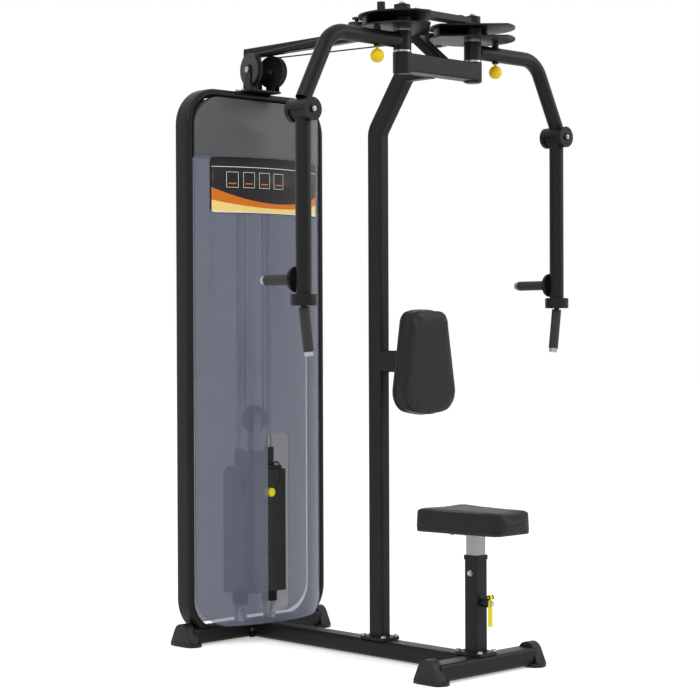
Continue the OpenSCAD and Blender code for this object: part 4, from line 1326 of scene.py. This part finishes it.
def back_cushion() -> Cushion:
    """The back pad: narrow at the top, its face towards the user."""
    foot, back_y = 0.806, -0.23275
    corners = [(-0.055, foot + 0.079, 0.072), (0.0, foot + 0.100, 0.100), (0.055, foot + 0.079, 0.072),
               (0.047, foot + 0.295, 0.046), (-0.047, foot + 0.295, 0.046)]
    upright = Matrix.Translation((0, back_y, 0)) @ Matrix.Rotation(math.pi / 2, 4, "X")
    return Cushion("back_cushion", "back_pad", "frame", corners, thick=0.057, place=upright, bolts=[],
                   swell=3.0 * MM)


CHARCOAL = Finish("placard_charcoal", (0.014, 0.0115, 0.013), 0.4, mottle=0.05, specular=0.25)
ORANGE = Finish("placard_orange", (0.64, 0.165, 0.008), 0.4, mottle=0.06, specular=0.25)
CREAM = Finish("placard_cream", (0.88, 0.66, 0.22), 0.4, mottle=0.05, specular=0.25)
PALE = Finish("placard_pale", (0.80, 0.78, 0.72), 0.4, mottle=0.03, specular=0.25)
Bound = Callable[[float], float]


class Ink(Enum):
    """The placard's inks, by their place among its materials."""

    CHARCOAL = 0
    ORANGE = 1
    CREAM = 2
    PALE = 3


@dataclass(frozen=True)
class Wave:
    """The edge of a printed band, lowest at the placard's middle.

    Attributes:
        foot: Its height at the middle.
        left: How far it has risen at the left end.
        right: How far it has risen at the right end.
    """

    foot: float
    left: float
    right: float


@dataclass(frozen=True)
class Patch:
    """A printed rectangle.

    Attributes:
        left: Its left side.
        right: Its right side.
        low: Its lower side.
        high: Its upper side.
        lift: How far it stands over the bow.
        ink: Its ink.
    """

    left: float
    right: float
    low: float
    high: float
    lift: float
    ink: Ink


@dataclass
class Placard:
    """A generic printed placard on the bowed front sheet: plain bands and rules, with no lettering.

    Attributes:
        centre_y: The bow's centre, along Y.
        bow_r: The sheet's outer radius.
        width: Width along the bow.
        low: Height of its lower edge.
        height: Its height.
        corner: Radius of its corners.
        inset: Plain margin inside its outline.
        sheet_lift: How far its face stands over the bow.
        print_lift: How far its bands stand over the bow.
        waves: The bands' edges, from the lowest up.
        inks: The ink between each edge and the next.
        rule: Heights of the rule over its whole width.
        frames: Left sides of the framed boxes.
        box: What is printed in each framed box, from its left side.
        clear: The least that a band's edge stays inside the lower edge.
        thick: The sheet's thickness.
        blank_steps: Faces along the blank.
        box_steps: Faces along a framed box.
    """

    centre_y: float = 0.9087
    bow_r: float = 0.46896
    width: float = 0.526
    low: float = 1.487
    height: float = 0.193
    corner: float = 0.016
    inset: float = 0.006
    sheet_lift: float = 0.5 * MM
    print_lift: float = 0.62 * MM
    waves: tuple[Wave, ...] = (
        Wave(0.002, 0.000, 0.004), Wave(0.004, 0.004, 0.016), Wave(0.019, 0.026, 0.028),
        Wave(0.036, 0.052, 0.040))
    inks: tuple[Ink, ...] = (Ink.PALE, Ink.CREAM, Ink.ORANGE)
    rule: tuple[float, float] = (0.158, 0.160)
    frames: tuple[float, ...] = tuple(-0.205 + 0.062 * column for column in range(4))
    box: tuple[Patch, ...] = (
        Patch(0.0, 0.044, 0.088, 0.142, 0.62 * MM, Ink.PALE),
        Patch(0.0015, 0.0425, 0.0895, 0.1405, 0.74 * MM, Ink.CHARCOAL),
        Patch(0.008, 0.036, 0.100, 0.104, 0.86 * MM, Ink.ORANGE))
    clear: float = 0.002
    thick: float = 0.4 * MM
    blank_steps: int = 120
    box_steps: int = 8

    def _point(self, across: float, up: float, lift: float) -> tuple[float, float, float]:
        """A point on the bow.

        Args:
            across: Distance along the bow from its middle.
            up: Height over the placard's lower edge.
            lift: Distance outside the bow.

        Returns:
            The point.
        """
        angle = across / self.bow_r
        reach = self.bow_r + lift
        return (reach * math.sin(angle), self.centre_y - reach * math.cos(angle), self.low + up)

    def _strip(self, work: bmesh.types.BMesh, start: float, end: float, low: Bound, high: Bound, lift: float,
               ink: Ink, steps: int = 60) -> None:
        """Print one area between two curves, as faces that follow the bow.

        Args:
            work: The placard's form.
            start: The area's left side.
            end: Its right side.
            low: Its lower edge.
            high: Its upper edge.
            lift: How far it stands over the bow.
            ink: Its ink.
            steps: Faces along it.
        """
        last = None
        for i in range(steps + 1):
            across = start + (end - start) * i / steps
            pair = [work.verts.new(self._point(across, bound(across), lift)) for bound in (low, high)]
            if last:
                face = work.faces.new((last[0], pair[0], pair[1], last[1]))
                face.material_index = ink.value
            last = pair

    def _edge(self, across: float) -> float:
        """How far the rounded corner comes in from the lower or upper edge."""
        past = abs(across) - (self.width / 2 - self.corner)
        return self.corner - math.sqrt(max(0.0, self.corner ** 2 - past ** 2)) if past > 0 else 0.0

    def _level(self, height: float) -> Bound:
        """An edge at one height."""
        return lambda across: height

    def _swept(self, wave: Wave) -> Bound:
        """An edge that follows a wave and stays inside the placard's rounded outline.

        Args:
            wave: The wave.

        Returns:
            The edge.
        """
        half = self.width / 2 - self.inset

        def height(across: float) -> float:
            """The edge's height at a distance from the middle."""
            far = across / half
            rise = wave.foot + (wave.left if far < 0 else wave.right) * far * far
            return min(max(rise, self._edge(across) + self.clear), self.height - self.inset)

        return height

    def build(self) -> bpy.types.Object:
        """Make the placard.

        Returns:
            The placard, in one piece with its inks.
        """
        blank = bmesh.new()
        half = self.width / 2
        self._strip(blank, -half, half, self._edge, lambda x: self.height - self._edge(x), self.sheet_lift,
                    Ink.CHARCOAL, self.blank_steps)
        mesh = finished(blank, "front_placard")
        piece = new_object("front_placard", mesh, CHARCOAL)
        work = bmesh.new()
        work.from_mesh(mesh)
        self._print(work)
        work.to_mesh(mesh)
        work.free()
        for ink in (ORANGE, CREAM, PALE):
            mesh.materials.append(ink.build())
        rim = piece.modifiers.new("sheet", "SOLIDIFY")
        rim.thickness = self.thick
        rim.offset = -1
        apply_modifiers(piece)
        place_piece(piece, "frame", "cap_moulding")
        return piece

    def _print(self, work: bmesh.types.BMesh) -> None:
        """Print the bands, the rule and the framed boxes on the blank.

        Args:
            work: The blank's form.
        """
        half = self.width / 2 - self.inset
        for low, high, ink in zip(self.waves, self.waves[1:], self.inks):
            self._strip(work, -half, half, self._swept(low), self._swept(high), self.print_lift, ink)
        foot, head = self.rule
        self._strip(work, -half, half, self._level(foot), self._level(head), self.print_lift, Ink.PALE)
        for left in self.frames:
            for patch in self.box:
                self._strip(work, left + patch.left, left + patch.right, self._level(patch.low),
                            self._level(patch.high), patch.lift, patch.ink, self.box_steps)


@dataclass
class Fittings:
    """Small fasteners and weld beads, each set down on the surface that carries it.

    Attributes:
        nodes: The CAD nodes by name.
        above: A height over the whole machine.
        shaft_x: Distance of each pivot shaft, and of its cable, from the middle.
        shaft_y: The pivot shafts' place along Y.
        knuckle_x: Distance of each knuckle bolt from the middle.
        knuckle_z: Height of the knuckle bolts.
        spools: Name and distance from the middle of each spool's axle.
        spool_y: The spools' place along Y.
        ferrule_y: Where each cable's ferrule starts, along Y.
        cable_z: Height of the arm cables.
        ferrule: Radius and height, in mm, of each ring of a ferrule.
        reach: A radius that clears the column and the seat sleeve.
        foot_z: A height over the joint of the column and of the seat sleeve.
        rays: How many points a weld is laid through.
        ripple: Length and radius of a weld's ripple.
        ripple_step: Distance from one ripple to the next.
        weld_out: How far a weld lies outside its tube.
        weld_smooth: Distance between two points of a weld's smoothed line.
        shaft_screw: Radius of the heads on the pivot shafts.
        knuckle_screw: Radius of the heads on the knuckle bolts.
        top_screw: Radius of the heads on top of the knuckles.
        spool_screw: Radius of the heads on the spools' axles.
        knuckle_front: A place before the knuckle bolts, along Y.
        top_start: A place over the knuckles, along Y and in height.
    """

    nodes: dict[str, bpy.types.Object]
    above: float = 2.2
    shaft_x: float = 0.165
    shaft_y: float = -0.32475
    knuckle_x: float = 0.592
    knuckle_z: float = 1.738
    spools: tuple[tuple[str, float], ...] = (("inner", 0.137), ("outer", 0.193))
    spool_y: float = -0.14975
    ferrule_y: float = -0.1785
    cable_z: float = 2.0459
    ferrule: tuple[tuple[float, float], ...] = (
        (0, 0), (3.2, 0), (4.1, 1), (4.1, 7), (3.5, 8), (3.5, 9.5), (4.1, 10.5), (4.1, 16), (3.2, 17),
        (0, 17))
    reach: float = 0.12
    foot_z: float = 0.16
    rays: int = 72
    ripple: tuple[float, float] = (4.2 * MM, 2.3 * MM)
    ripple_step: float = 2.4 * MM
    weld_out: float = 1.2 * MM
    weld_smooth: float = 2 * MM
    shaft_screw: float = 6.5 * MM
    knuckle_screw: float = 4.6 * MM
    top_screw: float = 3.6 * MM
    spool_screw: float = 5 * MM
    knuckle_front: float = -0.45
    top_start: tuple[float, float] = (-0.3, 1.85)

    def landing(self, node: str, start: Vector, towards: Vector) -> Vector:
        """Where a straight line first meets a CAD node.

        Args:
            node: The node's name.
            start: The line's start.
            towards: The line's direction.

        Returns:
            The point that it meets, or the start if it meets nothing.
        """
        hit, place, _, _ = self.nodes[node].ray_cast(start, towards.normalized())
        if not hit:
            log.warning("nothing of %s below a fitting", node)
        return place if hit else start

    def bolt(self, name: str, body: str, node: str, start: Vector, towards: Vector, radius: float) -> None:
        """Set a bolt head down on a node.

        Args:
            name: The piece's name.
            body: The body it rides on.
            node: The node that it sits on.
            start: A point over its seat.
            towards: From that point to the seat.
            radius: Radius over the head's corners.
        """
        place = self.landing(node, start, towards)
        bolt_head(name, body, place, -towards.normalized(), radius)

    def weld(self, name: str, body: str, tube: str, carrier: str, centre: Vector, towards: Vector) -> None:
        """Run a bead round a tube where it stands on its carrier.

        Args:
            name: The bead's name.
            body: The body it rides on.
            tube: The node that stands on the carrier.
            carrier: The node that carries it.
            centre: A point on the tube's axis, off the joint.
            towards: From that point to the joint.
        """
        turn = towards.to_track_quat("Z", "Y").to_matrix()
        path = []
        for angle in angles(self.rays):
            out = turn @ Vector((math.cos(angle), math.sin(angle), 0))
            edge = self.landing(tube, centre + out * self.reach, -out)
            path.append(self.landing(carrier, edge + out * self.weld_out, towards))
        line = smooth_path(path + path[:1], self.weld_smooth)[:-1]
        bead = repeat_along(name, line, grain_mesh(*self.ripple), self.ripple_step, POWDER_COAT)
        place_piece(bead, body, "powder_coat")

    def _ferrule(self, label: str, side: int) -> None:
        """Put the crimped ferrule on an arm cable.

        Args:
            label: Which arm's cable it is.
            side: -1 on the left and 1 on the right.
        """
        name = f"cable_ferrule_{label}"
        ferrule = new_object(name, revolve(name, [(r * MM, z * MM) for r, z in self.ferrule]), BRIGHT_STEEL)
        place = Matrix.Translation((side * self.shaft_x, self.ferrule_y, self.cable_z))
        ferrule.data.transform(place @ Matrix.Rotation(math.pi / 2, 4, "X"))
        place_piece(ferrule, "frame", "bright_steel")

    def build(self) -> None:
        """Set all of them."""
        down, ahead = Vector((0, 0, -1)), Vector((0, 1, 0))
        for side, label in ((-1, "left"), (1, "right")):
            knuckle = side * self.knuckle_x
            self.bolt(f"shaft_screw_{label}", "frame", "pivot_shafts",
                      Vector((side * self.shaft_x, self.shaft_y, self.above)), down, self.shaft_screw)
            self.bolt(f"knuckle_screw_{label}", f"{label}_arm", f"knuckle_bolt_{label}",
                      Vector((knuckle, self.knuckle_front, self.knuckle_z)), ahead, self.knuckle_screw)
            self.bolt(f"knuckle_top_screw_{label}", f"{label}_arm", f"upper_arm_{label}",
                      Vector((knuckle, *self.top_start)), down, self.top_screw)
            for axle, x in self.spools:
                self.bolt(f"spool_screw_{label}_{axle}", "frame", "shaft_tie_plate",
                          Vector((side * x, self.spool_y, self.above)), down, self.spool_screw)
            self._ferrule(label, side)
        self.weld("column_weld", "frame", "column", "column", Vector((0, COLUMN_Y, self.foot_z)), down)
        self.weld("sleeve_weld", "frame", "seat_sleeve", "seat_sleeve", Vector((0, SEAT_Y, self.foot_z)),
                  down)


def record_size(name: str, box: Iterable[Vector], sizes: dict) -> None:
    """Args:
        name: What the box is of.
        box: Its lowest and its highest corner.
        sizes: Where it is kept.
    """
    sizes[name] = [list(corner) for corner in box]


def main() -> None:
    """Build the looks round the frame."""
    logging.basicConfig(level=logging.INFO, format="%(message)s")
    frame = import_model()
    sizes: dict = {}
    record_size("cad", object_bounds(), sizes)
    Studio().build()
    Metalwork().dress(frame)
    Lanyard().build()
    LiftCables().build()
    seat_cushion().build()
    back_cushion().build()
    Placard().build()
    Fittings(frame["nodes"]).build()
    record_size("visual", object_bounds(), sizes)


if __name__ == "__main__":
    main()
